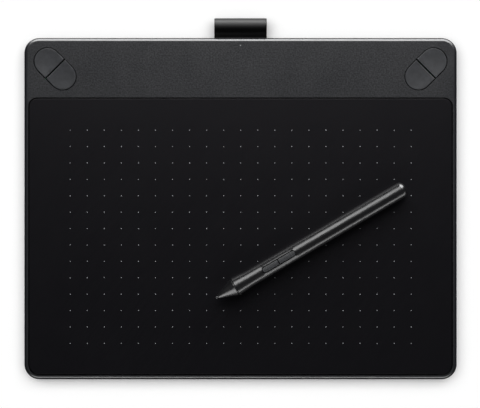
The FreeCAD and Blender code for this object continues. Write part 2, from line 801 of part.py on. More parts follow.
def cut_lip(owner):
    """Gaps in the lip where something passes the side wall."""
    ring = f"{LIP_INSET} + lip_wall / 2"
    width = "lip_wall + 2 * lip_clear"
    power_width = "power_length + 2 * power_flange + 4 * power_clear"
    touch_width = "touch_knob_length + touch_travel + 6 * touch_clear"
    loop_width = "loop_width + 2 * retainer_margin + 4 * loop_slot_clear"
    gaps = [
        ("Usb", f"{ring} - {SIDE}", f"{BACK} - usb_place", width, "usb_width + 4 * usb_clear"),
        ("Power", f"{ring} - {SIDE}", f"{BACK} - power_place", width, power_width),
        ("Touch", "touch_place", f"{BACK} - ( {ring} )", touch_width, width),
        ("Loop", "0", f"{BACK} - ( {ring} )", loop_width, width),
    ]
    for name, x, y, along_x, along_y in gaps:
        notch = sketch_on(owner, f"{name}Notch", x=x, y=y, z=f"{COVER_UNDER} + lip_rise")
        rectangle(notch, along_x, along_y)
        pocket(owner, notch, "seam_gap + lip_rise", f"{name}Gap")


def top_cover():
    owner = body("top_cover")
    shell = sketch_on(owner, "CoverOutline", y=MIDDLE, z=COVER_UNDER)
    rounded_rectangle(shell, "body_width", "body_depth", "corner_radius")
    slab = pad(owner, shell, f"{TOP} - {COVER_UNDER}", "Slab")
    ease(owner, slab, at_level(TOP), "edge_round", "TopRounding")

    hollow = sketch_on(owner, "CoverHollow", y=MIDDLE, z=COVER_UNDER)
    inset_outline(hollow, "side_wall")
    pocket(owner, hollow, f"{SHELF_UNDER} - {COVER_UNDER}", "CoverHollowCut", reverse=True)
    strip_room = "( strip_depth - side_wall - roof_wall )"
    room = sketch_on(owner, "StripRoom", y=f"{BACK} - side_wall - {strip_room} / 2", z=SHELF_UNDER)
    rounded_rectangle(room, "body_width - 2 * side_wall", strip_room, "corner_radius - side_wall",
                      "strip_room_round")
    pocket(owner, room, f"{ROOF} - {SHELF_UNDER}", "StripRoomCut", reverse=True)
    seat = sketch_on(owner, "SheetSeat", y=SHEET_MIDDLE, z=TOP)
    rim_radius = "corner_radius - rim_width"
    rounded_rectangle(seat, "body_width - 2 * rim_width", SHEET_DEPTH, "sheet_back_radius", rim_radius)
    pocket(owner, seat, f"{TOP} - {SHEET_SEAT}", "SheetSeatCut")

    # Bosses come down from the shelf and from the strip
    for name, places, ceiling in (("Shelf", SHELF_SCREWS, SHELF_UNDER), ("Strip", STRIP_SCREWS, ROOF)):
        bosses = sketch_on(owner, f"{name}Bosses", z="boss_level")
        discs(bosses, "roof_boss_radius", places)
        pad(owner, bosses, f"{ceiling} - boss_level", f"{name}BossPads")
    bores = sketch_on(owner, "BossBore", z="boss_level")
    discs(bores, "screw_shank_radius + screw_bite_clear", CASE_SCREWS)
    reach = f"{BASE} + screw_recess + screw_length - boss_level + screw_bite_clear"
    pocket(owner, bores, reach, "BossBores", reverse=True)

    for sign, turn in (("0 -", 135), ("", 45)):
        opening = sketch_on(owner, "KeyOpening", x=f"{sign} ( {SIDE} - key_offset )",
                            y=f"{BACK} - key_offset", z=TOP, turn=turn)
        capsule(opening, "key_length", "key_width")
        pocket(owner, opening, "2 * roof_wall", "KeyOpeningCut")
    light = sketch_on(owner, "LightHole", y=f"{BACK} - light_offset", z=TOP)
    discs(light, "light_radius + light_clear")
    pocket(owner, light, "2 * roof_wall", "LightHoleCut")
    cut_side_openings(owner)
    return keep(owner)


PORT_LEVEL = f"( {BOARD_TOP} + usb_tall / 2 )"


def cut_side_openings(owner):
    """Openings through the side and back walls of the top cover."""
    port = mouth_sketch(owner, "UsbMouth", "left", f"{BACK} - usb_place", PORT_LEVEL)
    rounded_rectangle(port, "usb_width + 2 * usb_clear", "usb_tall + 2 * usb_clear", "usb_chamfer")
    pocket(owner, port, "2 * side_wall", "UsbMouthCut", both=True)
    button = mouth_sketch(owner, "PowerMouth", "left", f"{BACK} - power_place", "switch_level")
    capsule(button, "power_length + 2 * power_clear", "power_tall + 2 * power_clear")
    pocket(owner, button, "2 * side_wall", "PowerMouthCut", both=True)
    slide = mouth_sketch(owner, "TouchMouth", "back", "touch_place", "switch_level")
    window = "touch_knob_length + touch_travel + 2 * touch_clear"
    rectangle(slide, window, "touch_knob_tall + 2 * touch_clear")
    pocket(owner, slide, "2 * side_wall", "TouchMouthCut", both=True)
    slot = mouth_sketch(owner, "LoopSlot", "back", "0", "loop_level")
    plies = "2 * loop_thick + loop_ply_gap + 2 * loop_slot_clear"
    rectangle(slot, "loop_width + 2 * loop_slot_clear", plies)
    pocket(owner, slot, "2 * side_wall", "LoopSlotCut", both=True)


def plate(label, width, depth, back_radius, front_radius, tall, y, z, easing=None):
    """A flat rounded plate; easing rounds its top edge."""
    owner = body(label)
    drawn = sketch_on(owner, "Outline", y=y, z=z)
    rounded_rectangle(drawn, width, depth, back_radius, front_radius)
    slab = pad(owner, drawn, tall, "Plate")
    if easing:
        ease(owner, slab, at_level(f"{z} + {tall}"), easing, "EdgeRounding")
    return keep(owner)


ACTIVE_MIDDLE = f"( {FRONT} + rim_width + ( {SHEET_DEPTH} - active_depth ) / 2 + active_depth / 2 )"


def surface_stack():
    """Drawing surface, its adhesive, touch film, sensor board and shield, from the top down."""
    gap = "2 * sheet_gap"
    plate("drawing_surface", f"body_width - 2 * rim_width - {gap}", f"{SHEET_DEPTH} - {gap}",
          "sheet_back_radius - sheet_gap", "corner_radius - rim_width - sheet_gap",
          "sheet_thick", SHEET_MIDDLE, SHEET_UNDER, easing="sheet_edge_round")
    margin = "2 * ( sheet_gap + adhesive_margin )"
    plate("surface_adhesive", f"body_width - 2 * rim_width - {margin}", f"{SHEET_DEPTH} - {margin}",
          "sheet_back_radius", "sheet_back_radius", "adhesive_thick", SHEET_MIDDLE, SHEET_SEAT)
    stack = "sheet_back_radius / 2"
    plate("touch_film", "active_width + 2 * film_margin", "active_depth + 2 * film_margin",
          stack, stack, "film_thick", ACTIVE_MIDDLE, FILM_UNDER)
    width = "active_width + 2 * sensor_margin_side"
    depth = "active_depth + 2 * sensor_margin_end"
    plate("sensor_board", width, depth, stack, stack, "sensor_thick", ACTIVE_MIDDLE, SENSOR_UNDER)
    plate("shield_plate", f"{width} - 2 * shield_inset", f"{depth} - 2 * shield_inset",
          stack, stack, "shield_thick", ACTIVE_MIDDLE, SHIELD_UNDER)


# Express keys: name, side of the tablet, and the way each half points from the capsule's middle
KEYS = [
    ("left_upper_key", "0 -", 135),
    ("left_lower_key", "0 -", 315),
    ("right_upper_key", "", 45),
    ("right_lower_key", "", 225),
]


def key_cap(name, sign, turn):
    """Half of a capsule, dished on top, with a flange under the cover and a stem over its switch."""
    owner = body(name)
    place = {"x": f"{sign} ( {SIDE} - key_offset )", "y": f"{BACK} - key_offset", "turn": turn}
    flange_top = f"( {ROOF} - key_flange_clear )"
    flange = sketch_on(owner, "Flange", z=f"{flange_top} - key_flange_thick", **place)
    half_capsule(flange, "key_split / 2", "key_length / 2 + key_flange", "key_width + 2 * key_flange")
    pad(owner, flange, "key_flange_thick", "FlangePad")
    cap = sketch_on(owner, "Cap", z=flange_top, **place)
    half_capsule(cap, "key_split / 2", "key_length / 2 - key_gap", "key_width - 2 * key_gap")
    pad(owner, cap, f"{TOP} + key_proud - {flange_top}", "CapPad")
    stem = sketch_on(owner, "Stem", z=f"{flange_top} - key_flange_thick", **place)
    discs(stem, "key_stem_radius", [("key_stem_place", "0")])
    pad(owner, stem, f"{flange_top} - key_flange_thick - {KEY_BUTTON_TOP}", "StemPad", reverse=True)
    doc.recompute()

    # The dish is a wide ball let into the top, its reach from the middle of the key to its far corner
    half = value("( key_length / 2 - key_gap + key_split / 2 ) / 2")
    corner = math.hypot(half - value("key_split / 2"), value("key_width / 2 - key_gap"))
    dish = value("key_dish")
    ball_radius = (corner ** 2 + dish ** 2) / (2 * dish)
    heading = math.radians(turn)
    x = value(place["x"]) + half * math.cos(heading)
    y = value(place["y"]) + half * math.sin(heading)
    ball = owner.newObject("PartDesign::SubtractiveSphere", "Dish")
    ball.Radius = ball_radius
    ball.Placement = Placement(Vector(x, y, value(f"{TOP} + key_proud") - dish + ball_radius), Rotation())
    doc.recompute()
    roof = value(TOP) - dish
    ease(owner, ball, lambda e: all(v.Z > roof for v in e.Vertexes) and e.CenterOfMass.z > roof,
         "key_edge_round", "KeyEdge")
    return keep(owner)


KEY_BUTTON_TOP = f"( {BOARD_TOP} + key_switch_tall + key_button_clear + key_travel )"


def key_places():
    """Where the four stems stand, as x and y in millimetres."""
    reach = value("key_stem_place")
    for name, sign, turn in KEYS:
        heading = math.radians(turn)
        x = value(f"{sign} ( {SIDE} - key_offset )") + reach * math.cos(heading)
        y = value(f"{BACK} - key_offset") + reach * math.sin(heading)
        yield name, x, y


def key_switches():
    """Four switch housings on the control board, each with a well for its button."""
    side, tall = value("key_switch_side"), value("key_switch_tall")
    well, floor = value("key_button_radius + key_button_clear"), value("key_switch_floor")
    level = value(BOARD_TOP)
    housings = []
    for name, x, y in key_places():
        housing = Part.makeBox(side, side, tall, Vector(x - side / 2, y - side / 2, level))
        housings.append(housing.cut(Part.makeCylinder(well, tall, Vector(x, y, level + floor))))
    return keep(feature_of("key_switches", Part.makeCompound(housings)))


def key_buttons():
    """The button of each switch, which rides with its key."""
    foot = value(f"{BOARD_TOP} + key_switch_floor + key_travel + key_button_clear")
    for name, x, y in key_places():
        button = doc.addObject("Part::Cylinder", f"{name}_switch_button")
        button.Label = f"{name}_switch_button"
        bind(button, "Radius", "key_button_radius")
        bind(button, "Height", f"{KEY_BUTTON_TOP} - {foot}")
        button.Placement = Placement(Vector(x, y, foot), Rotation())
        keep(button)


# Control board and what it carries
def control_board():
    owner = body("control_board")
    drawn = sketch_on(owner, "Outline", z="board_level")
    edge = f"( {SIDE} - board_inset )"
    back = f"{BACK} - board_inset"
    front = f"{BACK} - board_front"
    bridge = f"{BACK} - board_bridge"
    corners = [
        (f"0 - {edge}", front), ("0 - board_wing", front), ("0 - board_wing", bridge), ("board_wing", bridge),
        ("board_wing", front), (edge, front), (edge, f"{back} - corner_radius / 2"),
        (f"{edge} - corner_radius / 2", back), (f"corner_radius / 2 - {edge}", back),
        (f"0 - {edge}", f"{back} - corner_radius / 2"),
    ]
    outline(drawn, corners)
    pad(owner, drawn, "board_thick", "Board")
    holes = sketch_on(owner, "BossHole", z=BOARD_TOP)
    discs(holes, "base_boss_radius + board_boss_clear", STRIP_SCREWS)
    pocket(owner, holes, "2 * board_thick", "BossHoles")
    screws = sketch_on(owner, "ScrewHole", z=BOARD_TOP)
    discs(screws, "board_screw_radius + screw_shank_clear", BOARD_SCREWS)
    pocket(owner, screws, "2 * board_thick", "ScrewHoles")
    return keep(owner)


RIBBON_X = "( board_wing + ribbon_place )"


def control_chips():
    """Controller, memory, crystal, radio, regulator and choke, and the plugs of the two flexes."""
    inner, outer = "( board_wing + chip_place )", "( board_wing + chip_place + chip_step )"
    front, back = f"{BACK} - chip_front_row", f"{BACK} - chip_back_row"
    chips = [
        ("controller_side", "chip_tall", f"0 - {inner}", front),
        ("memory_side", "chip_tall", f"0 - {inner}", back),
        ("crystal_side", "chip_tall", f"0 - {outer}", front),
        ("radio_side", "chip_tall", inner, front),
        ("regulator_side", "chip_tall", outer, back),
        ("choke_side", "choke_tall", inner, back),
    ]
    solids = [solid_box(side, side, tall, x, y, BOARD_TOP) for side, tall, x, y in chips]
    plug = f"{BACK} - board_front + plug_deep"
    for x in (f"0 - {RIBBON_X}", RIBBON_X):
        solids.append(solid_box("plug_length", "plug_deep", "plug_tall", x, plug, BOARD_TOP))
    return keep(feature_of("control_chips", Part.makeCompound(solids)))


def ribbon(label, x, corners):
    """A flat flex, its side outline given in y and z."""
    owner = body(label)
    drawn = sketch_on(owner, "Side", "YZ_Plane", z=x)
    outline(drawn, corners)
    made = pad(owner, drawn, "ribbon_width", "Flex")
    made.Midplane = True
    return keep(owner)


SENSOR_BACK = f"( {ACTIVE_MIDDLE} + active_depth / 2 + sensor_margin_end )"
FILM_BACK = f"( {ACTIVE_MIDDLE} + active_depth / 2 + film_margin )"


def ribbons():
    """The flexes that run from the control board to the sensor and to the touch film."""
    plug = f"{BACK} - board_front + plug_deep / 2"
    low = f"{BOARD_TOP} + ribbon_rise"
    thick = "ribbon_thick"
    lap = "( ribbon_bend + ribbon_lap )"
    sensor = [
        (plug, low), (plug, f"{low} + {thick}"), (f"{SENSOR_BACK} + ribbon_lap", f"{low} + {thick}"),
        (f"{SENSOR_BACK} - ribbon_bend", SENSOR_UNDER), (f"{SENSOR_BACK} - {lap}", SENSOR_UNDER),
        (f"{SENSOR_BACK} - {lap}", f"{SENSOR_UNDER} - {thick}"),
        (f"{SENSOR_BACK} - ribbon_bend - {thick} / 2", f"{SENSOR_UNDER} - {thick}"),
        (f"{SENSOR_BACK} + ribbon_lap - {thick} / 2", low),
    ]
    ribbon("sensor_ribbon", RIBBON_X, sensor)
    high = f"{FILM_UNDER} + film_thick"
    near, far = f"{SENSOR_BACK} + ribbon_bend", f"{SENSOR_BACK} + ribbon_bend + {thick}"
    touch = [
        (plug, low), (plug, f"{low} + {thick}"), (far, f"{low} + {thick}"), (far, high), (FILM_BACK, high),
        (FILM_BACK, f"{high} - {thick}"), (near, f"{high} - {thick}"), (near, low),
    ]
    ribbon("touch_ribbon", f"0 - {RIBBON_X}", touch)


def usb_socket():
    """A drawn steel shell with its tongue, at the left edge."""
    owner = body("usb_shell")
    mouth = f"usb_inset - {SIDE}"
    drawn = sketch_on(owner, "Outside", "YZ_Plane", x=f"{BACK} - usb_place", y=PORT_LEVEL, z=mouth)
    rounded_rectangle(drawn, "usb_width", "usb_tall", "usb_chamfer")
    pad(owner, drawn, "usb_deep", "Shell")
    inner = sketch_on(owner, "Inside", "YZ_Plane", x=f"{BACK} - usb_place", y=PORT_LEVEL, z=mouth)
    wall = "2 * usb_wall"
    rounded_rectangle(inner, f"usb_width - {wall}", f"usb_tall - {wall}", "usb_chamfer - usb_wall")
    pocket(owner, inner, "usb_deep - usb_wall", "Mouth", reverse=True)
    keep(owner)
    length = "( usb_deep - usb_wall - usb_tongue_inset )"
    keep(block("usb_tongue", length, "usb_tongue_width", "2 * usb_wall",
               f"usb_inset - {SIDE} + usb_deep - usb_wall - {length} / 2", f"{BACK} - usb_place",
               f"{PORT_LEVEL} - usb_wall"))


def status_light():
    """The light on the board and the clear guide that carries it to the strip."""
    place = f"{BACK} - light_offset"
    keep(block("status_led", "led_length", "led_width", "led_tall", "0", place, BOARD_TOP))
    owner = body("status_light_guide")
    foot = f"( {BOARD_TOP} + led_tall + led_air )"
    stem = sketch_on(owner, "Stem", y=place, z=foot)
    discs(stem, "light_guide_radius")
    pad(owner, stem, f"{ROOF} - {foot}", "StemPad")
    tip = sketch_on(owner, "Tip", y=place, z=ROOF)
    discs(tip, "light_radius")
    pad(owner, tip, f"{TOP} - {ROOF}", "TipPad")
    keep(owner)


def power_control():
    """A small button in the left wall, with the switch that it presses."""
    owner = body("power_button")
    along = f"{BACK} - power_place"
    flange_out = f"( side_wall + power_air - {SIDE} )"
    face = sketch_on(owner, "Face", "YZ_Plane", x=along, y="switch_level", z=f"power_recess - {SIDE}")
    capsule(face, "power_length", "power_tall")
    pad(owner, face, "side_wall + power_air - power_recess", "FacePad")
    flange = sketch_on(owner, "Flange", "YZ_Plane", x=along, y="switch_level", z=flange_out)
    capsule(flange, "power_length + 2 * power_flange", "power_tall + 2 * power_flange")
    pad(owner, flange, "power_flange_thick", "FlangePad")
    inner = f"{flange_out} + power_flange_thick"
    stem = sketch_on(owner, "Stem", "YZ_Plane", x=along, y="switch_level", z=inner)
    discs(stem, "power_stem_radius")
    reach = "power_switch_inset - side_wall - 2 * power_air - power_flange_thick - power_travel"
    pad(owner, stem, reach, "StemPad")
    keep(owner)
    keep(block("power_switch", "power_switch_deep", "power_switch_wide", "power_switch_tall",
               f"power_switch_inset + power_switch_deep / 2 - {SIDE}", along, BOARD_TOP))


def touch_control():
    """The slide that turns touch on and off, in the back wall."""
    inner = f"( {BACK} + touch_knob_proud - touch_knob_deep )"
    owner = body("touch_knob")
    start = "( touch_place - touch_travel / 2 )"
    face = sketch_on(owner, "Face", "XZ_Plane", x=start, y="switch_level", z=f"0 - {BACK} - touch_knob_proud")
    rectangle(face, "touch_knob_length", "touch_knob_tall")
    pad(owner, face, "touch_knob_deep", "FacePad")
    stem = sketch_on(owner, "Stem", "XZ_Plane", x=start, y="switch_level", z=f"0 - {inner}")
    rectangle(stem, "touch_stem_wide", "touch_stem_tall")
    pad(owner, stem, "touch_stem_length", "StemPad")
    keep(owner)

    housing = body("touch_switch")
    level = f"{BOARD_TOP} + touch_switch_tall / 2"
    case = sketch_on(housing, "Case", "XZ_Plane", x="touch_place", y=level, z=f"touch_switch_inset - {BACK}")
    rectangle(case, "touch_switch_length", "touch_switch_tall")
    pad(housing, case, "touch_switch_deep", "CasePad")
    slot = sketch_on(housing, "Slot", "XZ_Plane", x="touch_place", y="switch_level",
                     z=f"touch_switch_inset - {BACK}")
    rectangle(slot, "touch_stem_wide + touch_travel + 2 * touch_clear", "touch_stem_tall + 2 * touch_clear")
    pocket(housing, slot, "touch_stem_length / 2 + touch_clear", "StemSlot", reverse=True)
    keep(housing)


# Pen loop
def loop_section(near, inside):
    """Half outline of the loop, seen from the side: along the ply, then round the bend by its tangent."""
    bend = value("loop_bend") - (value("loop_thick") if inside else 0)
    ply = value("loop_ply_gap / 2") + (0 if inside else value("loop_thick"))
    centre = value(f"{BACK} + loop_reach - loop_bend")
    throat = value(f"{BACK} + loop_throat")
    reach = math.hypot(centre - throat, ply)
    lean = math.atan2(-ply, centre - throat)
    touch = lean + math.asin(bend / reach)
    run = math.sqrt(reach ** 2 - bend ** 2)
    level = value("loop_level")
    tangent = (throat + run * math.cos(touch), ply + run * math.sin(touch))
    tip = (centre + bend, 0)
    return [(near, ply), (throat, ply), tangent, tip], level


def pen_loop():
    """A band folded to a drop and clamped by its two ends just inside the back wall."""
    near = value(f"{BACK} - side_wall - retainer_thick")
    outer, level = loop_section(near, inside=False)
    inner, level = loop_section(near, inside=True)
    half = value("loop_width / 2")

    def at(point, flip=1):
        return Vector(-half, point[0], level + flip * point[1])

    def half_edges(points, flip):
        pairs = zip(points[:2], points[1:3])
        straight = [Part.LineSegment(at(a, flip), at(b, flip)).toShape() for a, b in pairs]
        centre = (value(f"{BACK} + loop_reach - loop_bend"), 0)
        start = math.atan2(points[2][1], points[2][0] - centre[0])
        radius = points[3][0] - centre[0]
        between = (centre[0] + radius * math.cos(start / 2), radius * math.sin(start / 2))
        return straight + [Part.Arc(at(points[2], flip), at(between, flip), at(points[3], flip)).toShape()]

    edges = []
    for flip in (1, -1):
        edges += half_edges(outer, flip) + half_edges(inner, flip)
        edges.append(Part.LineSegment(at(outer[0], flip), at(inner[0], flip)).toShape())
    ring = Part.Wire(Part.__sortEdges__(edges))
    shape = Part.Face(ring).extrude(Vector(2 * half, 0, 0))
    return keep(feature_of("pen_loop", shape))


def loop_retainer():
    """A bar that the loop's two plies are stitched into."""
    owner = body("loop_retainer")
    plies = "2 * loop_thick + loop_ply_gap"
    face = f"side_wall - {BACK}"
    bar = sketch_on(owner, "Bar", "XZ_Plane", y="loop_level", z=face)
    rectangle(bar, "loop_width + 2 * retainer_margin", f"{plies} + 2 * retainer_rim")
    pad(owner, bar, "retainer_thick + retainer_rim", "BarPad")
    slot = sketch_on(owner, "Slot", "XZ_Plane", y="loop_level", z=face)
    rectangle(slot, "loop_width + loop_slot_clear", f"{plies} + loop_slot_clear")
    pocket(owner, slot, "retainer_thick", "PlySlot", reverse=True)
    return keep(owner)


# Accessory compartment
def compartment_cover():
    owner = body("compartment_cover")
    width = "( bay_width + 2 * bay_ledge - 2 * door_clear )"
    depth = "( bay_depth + 2 * bay_ledge - 2 * door_clear )"
    drawn = sketch_on(owner, "Outline", y=BAY_MIDDLE, z=BASE)
    rounded_rectangle(drawn, width, depth, "door_corner - door_clear")
    pad(owner, drawn, "door_thick", "Door")
    for side in ("0 - door_tab_place", "door_tab_place"):
        tab = sketch_on(owner, "Tab", x=side, y=f"{HINGE_Y} - door_tab_reach / 2",
                        z=f"{BASE} + door_thick - door_tab_thick")
        rectangle(tab, "door_tab_width", "door_tab_reach")
        pad(owner, tab, "door_tab_thick", "TabPad")
    far = f"( {HINGE_Y} + {depth} )"
    reach = f"{far} - door_latch_length / 2"
    for side in ("0 -", ""):
        slit = sketch_on(owner, "LatchSlit", x=f"{side} ( door_latch_width / 2 )", y=reach, z=BASE)
        rectangle(slit, "door_latch_cut", "door_latch_length")
        pocket(owner, slit, "door_thick", "LatchSlitCut", reverse=True)
    nub = sketch_on(owner, "LatchNub", y=f"{far} + door_latch_nub / 2", z=f"{BASE} + door_thick / 2")
    rectangle(nub, "door_latch_width / 2", "door_latch_nub")
    pad(owner, nub, "door_thick / 4", "LatchNubPad")
    # Grip grooves on the outside of the latch
    for number in range(3):
        grip = sketch_on(owner, "Grip", y=f"{far} - door_latch_length / 4 - {number} * door_thick", z=BASE)
        rectangle(grip, "door_latch_width / 2", "door_thick / 3")
        pocket(owner, grip, "door_thick / 4", "GripGroove", reverse=True)
    return keep(owner)


def compartment_fittings():
    """Battery contacts, module connector, spare nibs and the ring that pulls nibs."""
    wall = "( battery_length - bay_width / 2 )"
    leaves = [
        solid_box("contact_thick", "contact_width", "contact_tall", f"{wall} - contact_thick / 2",
                  f"{BAY_MIDDLE} + {row}", "bay_ceiling - contact_tall")
        for row in ("0 - contact_pitch", "0", "contact_pitch")
    ]
    keep(feature_of("battery_contacts", Part.makeCompound(leaves)))
    left = f"{SIDE_BAY_X} - {SIDE_BAY_WIDTH} / 2 + connector_deep / 2"
    keep(block("module_connector", "connector_deep", "connector_length", "connector_tall", left, MODULE_Y,
               "bay_ceiling - connector_tall"))

    x = value(f"{NIB_PLACE_X} - nib_length / 2")
    rods = []
    for row in NIB_ROWS:
        y = value(f"{TRAY_Y} + {row}")
        radius, length = value("nib_radius"), value("nib_length")
        rod = Part.makeCylinder(radius, length, Vector(x, y, value("spare_nib_level")), Vector(1, 0, 0))
        rods.append(rod.makeFillet(value("spare_nib_round"), [rod.Edges[0], rod.Edges[2]]))
    keep(feature_of("spare_nibs", Part.makeCompound(rods)))

    ring = body("nib_remover")
    drawn = sketch_on(ring, "Ring", x=REMOVER_X, y=TRAY_Y, z="tray_ceiling - remover_thick")
    discs(drawn, "remover_radius")
    discs(drawn, "remover_bore")
    pad(ring, drawn, "remover_thick", "RingPad")
    keep(ring)


# Feet and screws
def rubber_feet():
    """Four long pads, let into the bottom cover."""
    length, width = value("foot_length"), value("foot_width")
    tall = value("foot_drop + foot_recess")
    feet = []
    for x, y in FEET:
        cx, cy, r = value(x), value(y), width / 2
        reach = length / 2 - r
        ends = [Part.makeCylinder(r, tall, Vector(cx + side * reach, cy, 0)) for side in (-1, 1)]
        pad_shape = Part.makeBox(2 * reach, width, tall, Vector(cx - reach, cy - r, 0)).multiFuse(ends)
        feet.append(pad_shape.removeSplitter())
    return keep(feature_of("rubber_feet", Part.makeCompound(feet)))


# The two arms of a screw's cross, as shares of its head's radius
SLOT_LENGTH = 1.2
SLOT_WIDTH = 0.3


def screw_shape(place, head_radius, head_tall, shank_radius, shank_length, up):
    """One cross-head screw; its seat is at place and its shank runs up or down."""
    x, y, z = place
    way = 1 if up else -1
    axis = Vector(0, 0, way)
    shank = Part.makeCylinder(shank_radius, shank_length, Vector(x, y, z), axis)
    head = Part.makeCylinder(head_radius, head_tall, Vector(x, y, z), axis * -1)
    screw = head.fuse(shank).removeSplitter()
    slot_long, slot_wide = head_radius * SLOT_LENGTH, head_radius * SLOT_WIDTH
    bottom = z - way * head_tall if up else z + head_tall - head_tall / 2
    for wide, deep in ((slot_long, slot_wide), (slot_wide, slot_long)):
        screw = screw.cut(Part.makeBox(wide, deep, head_tall / 2, Vector(x - wide / 2, y - deep / 2, bottom)))
    return screw


def screws():
    seat = value(f"{BASE} + screw_recess")
    sizes = [value(n) for n in ("screw_head_radius", "screw_head_tall", "screw_shank_radius", "screw_length")]
    case = [screw_shape((value(x), value(y), seat), *sizes, up=True) for x, y in CASE_SCREWS]
    keep(feature_of("case_screws", Part.makeCompound(case)))
    top = value(BOARD_TOP)
    names = ("board_screw_head", "board_screw_head_tall", "board_screw_radius", "board_screw_length")
    sizes = [value(n) for n in names]
    board = [screw_shape((value(x), value(y), top), *sizes, up=False) for x, y in BOARD_SCREWS]
    keep(feature_of("board_screws", Part.makeCompound(board)))


# The pen is drawn along X from its tip, +Z towards its side switch, then laid on the sheet
def pen_placement():
    """Lies down so that its widest ring and its tail come equally near the drawing surface."""
    front, tail = value("barrel_front_radius"), value("barrel_tail_radius")
    ring, end = value("cone_end + collar_width"), value("pen_length - tail_cap_show")
    tilt = math.asin((front - tail) / (end - ring))
    level = value(f"{SHEET_TOP} + pen_rest_gap") + front / math.cos(tilt) + ring * math.tan(tilt)
    turned = Rotation(Vector(0, 0, 1), value("pen_turn")) * Rotation(Vector(0, 1, 0), math.degrees(tilt))
    return Placement(Vector(value("pen_tip_x"), value("pen_tip_y"), level), turned)


PEN = pen_placement()


def pen_body(label):
    owner = body(label)
    owner.Placement = PEN
    return owner


def turned_piece(label, corners):
    """A pen piece turned about its axis, its half section given as distance from the tip and radius."""
    owner = pen_body(label)
    drawn = sketch_on(owner, "Section")
    outline(drawn, corners)
    revolve(owner, drawn, "Turned")
    return owner


def pen_shell():
    """Nose cone, collar, barrel and tail cap."""
    slope = "( ( cone_base_radius - cone_tip_radius ) / ( cone_end - nib_bare ) )"
    hole = "( nib_radius + 2 * cone_clear )"
    inner_start = f"( nib_bare + ( {hole} + cone_wall - cone_tip_radius ) / {slope} )"
    spigot = "( barrel_bore - fit_clear )"
    cone = turned_piece("pen_nose_cone", [
        ("nib_bare", hole), ("nib_bare", "cone_tip_radius"), ("cone_end", "cone_base_radius"),
        ("cone_end", spigot), ("cone_end + collar_width + cone_spigot", spigot),
        ("cone_end + collar_width + cone_spigot", f"{spigot} - cone_wall"),
        ("cone_end - cone_wall", f"{spigot} - cone_wall"), (f"{inner_start} + cone_wall", hole),
    ])
    keep(cone)
    keep(turned_piece("pen_collar", [
        ("cone_end", "barrel_bore"), ("cone_end", "collar_radius"),
        ("cone_end + collar_width", "collar_radius"), ("cone_end + collar_width", "barrel_bore"),
    ]))
    barrel = turned_piece("pen_barrel", [
        ("cone_end + collar_width", "barrel_bore"),
        ("cone_end + collar_width", "barrel_front_radius - barrel_lip"),
        ("cone_end + collar_width + barrel_lip", "barrel_front_radius"),
        ("barrel_waist_place", "barrel_waist_radius"),
        ("pen_length - tail_cap_show", "barrel_tail_radius"), ("pen_length - tail_cap_show", "barrel_bore"),
    ])
    opening = sketch_on(barrel, "SwitchOpening", x="( switch_start + switch_end ) / 2")
    capsule(opening, "switch_end - switch_start", "switch_width")
    pocket(barrel, opening, "2 * barrel_front_radius", "SwitchOpeningCut", reverse=True)
    keep(barrel)
    tail_start = "pen_length - tail_cap_show"
    tail = turned_piece("pen_tail_cap", [
        (f"{tail_start} - tail_plug", "0"), (f"{tail_start} - tail_plug", "barrel_bore - fit_clear"),
        (tail_start, "barrel_bore - fit_clear"), (tail_start, "barrel_tail_radius"),
        ("pen_length", "barrel_tail_radius"), ("pen_length", "0"),
    ])
    far = value("pen_length")
    ease(tail, tail.Tip, lambda e: e.CenterOfMass.x > far - NEAR and e.Closed, "tail_round", "TailRounding")
    keep(tail)


def pen_nib():
    owner = turned_piece("pen_nib", [
        ("0", "0"), ("0", "nib_tip_flat"), ("nib_tip_turn", "nib_tip_shoulder"),
        ("nib_radius", "nib_radius"), ("nib_length", "nib_radius"), ("nib_length", "0"),
    ])
    return keep(owner)


SWITCH_HALVES = [
    ("pen_switch_lower", 180, "( switch_divide - switch_start )"),
    ("pen_switch_upper", 0, "( switch_end - switch_divide )"),
]


def pen_switch(name, turn, reach):
    """Half of the side switch: a crowned cap, and a tab below it that presses its dome."""
    owner = pen_body(name)
    place = {"x": "switch_divide", "turn": turn}
    cap = sketch_on(owner, "Cap", z="switch_under", **place)
    half_capsule(cap, "switch_split / 2", f"{reach} - switch_gap", "switch_width - 2 * switch_gap")
    pad(owner, cap, "switch_crown", "CapPad")
    trim = sketch_on(owner, "Trim")
    ends = ("switch_start - switch_gap", "switch_end + switch_gap")
    outline(trim, [(ends[0], "switch_crown"), (ends[1], "switch_crown"),
                   (ends[1], "2 * switch_crown"), (ends[0], "2 * switch_crown")])
    revolve(owner, trim, "Crown", cut=True)
    tab = sketch_on(owner, "Tab", z="switch_under - switch_tab_thick", **place)
    span = f"( {reach} - switch_gap + switch_tab_reach - switch_split )"
    x0, x1 = "switch_split", f"switch_split + {span}"
    half = "switch_tab_width / 2"
    outline(tab, [(x0, f"0 - {half}"), (x1, f"0 - {half}"), (x1, half), (x0, half)])
    pad(owner, tab, "switch_tab_thick", "TabPad")
    return keep(owner)


def dome_places():
    return [value(f"( switch_divide + {end} ) / 2") for end in ("switch_start", "switch_end")]


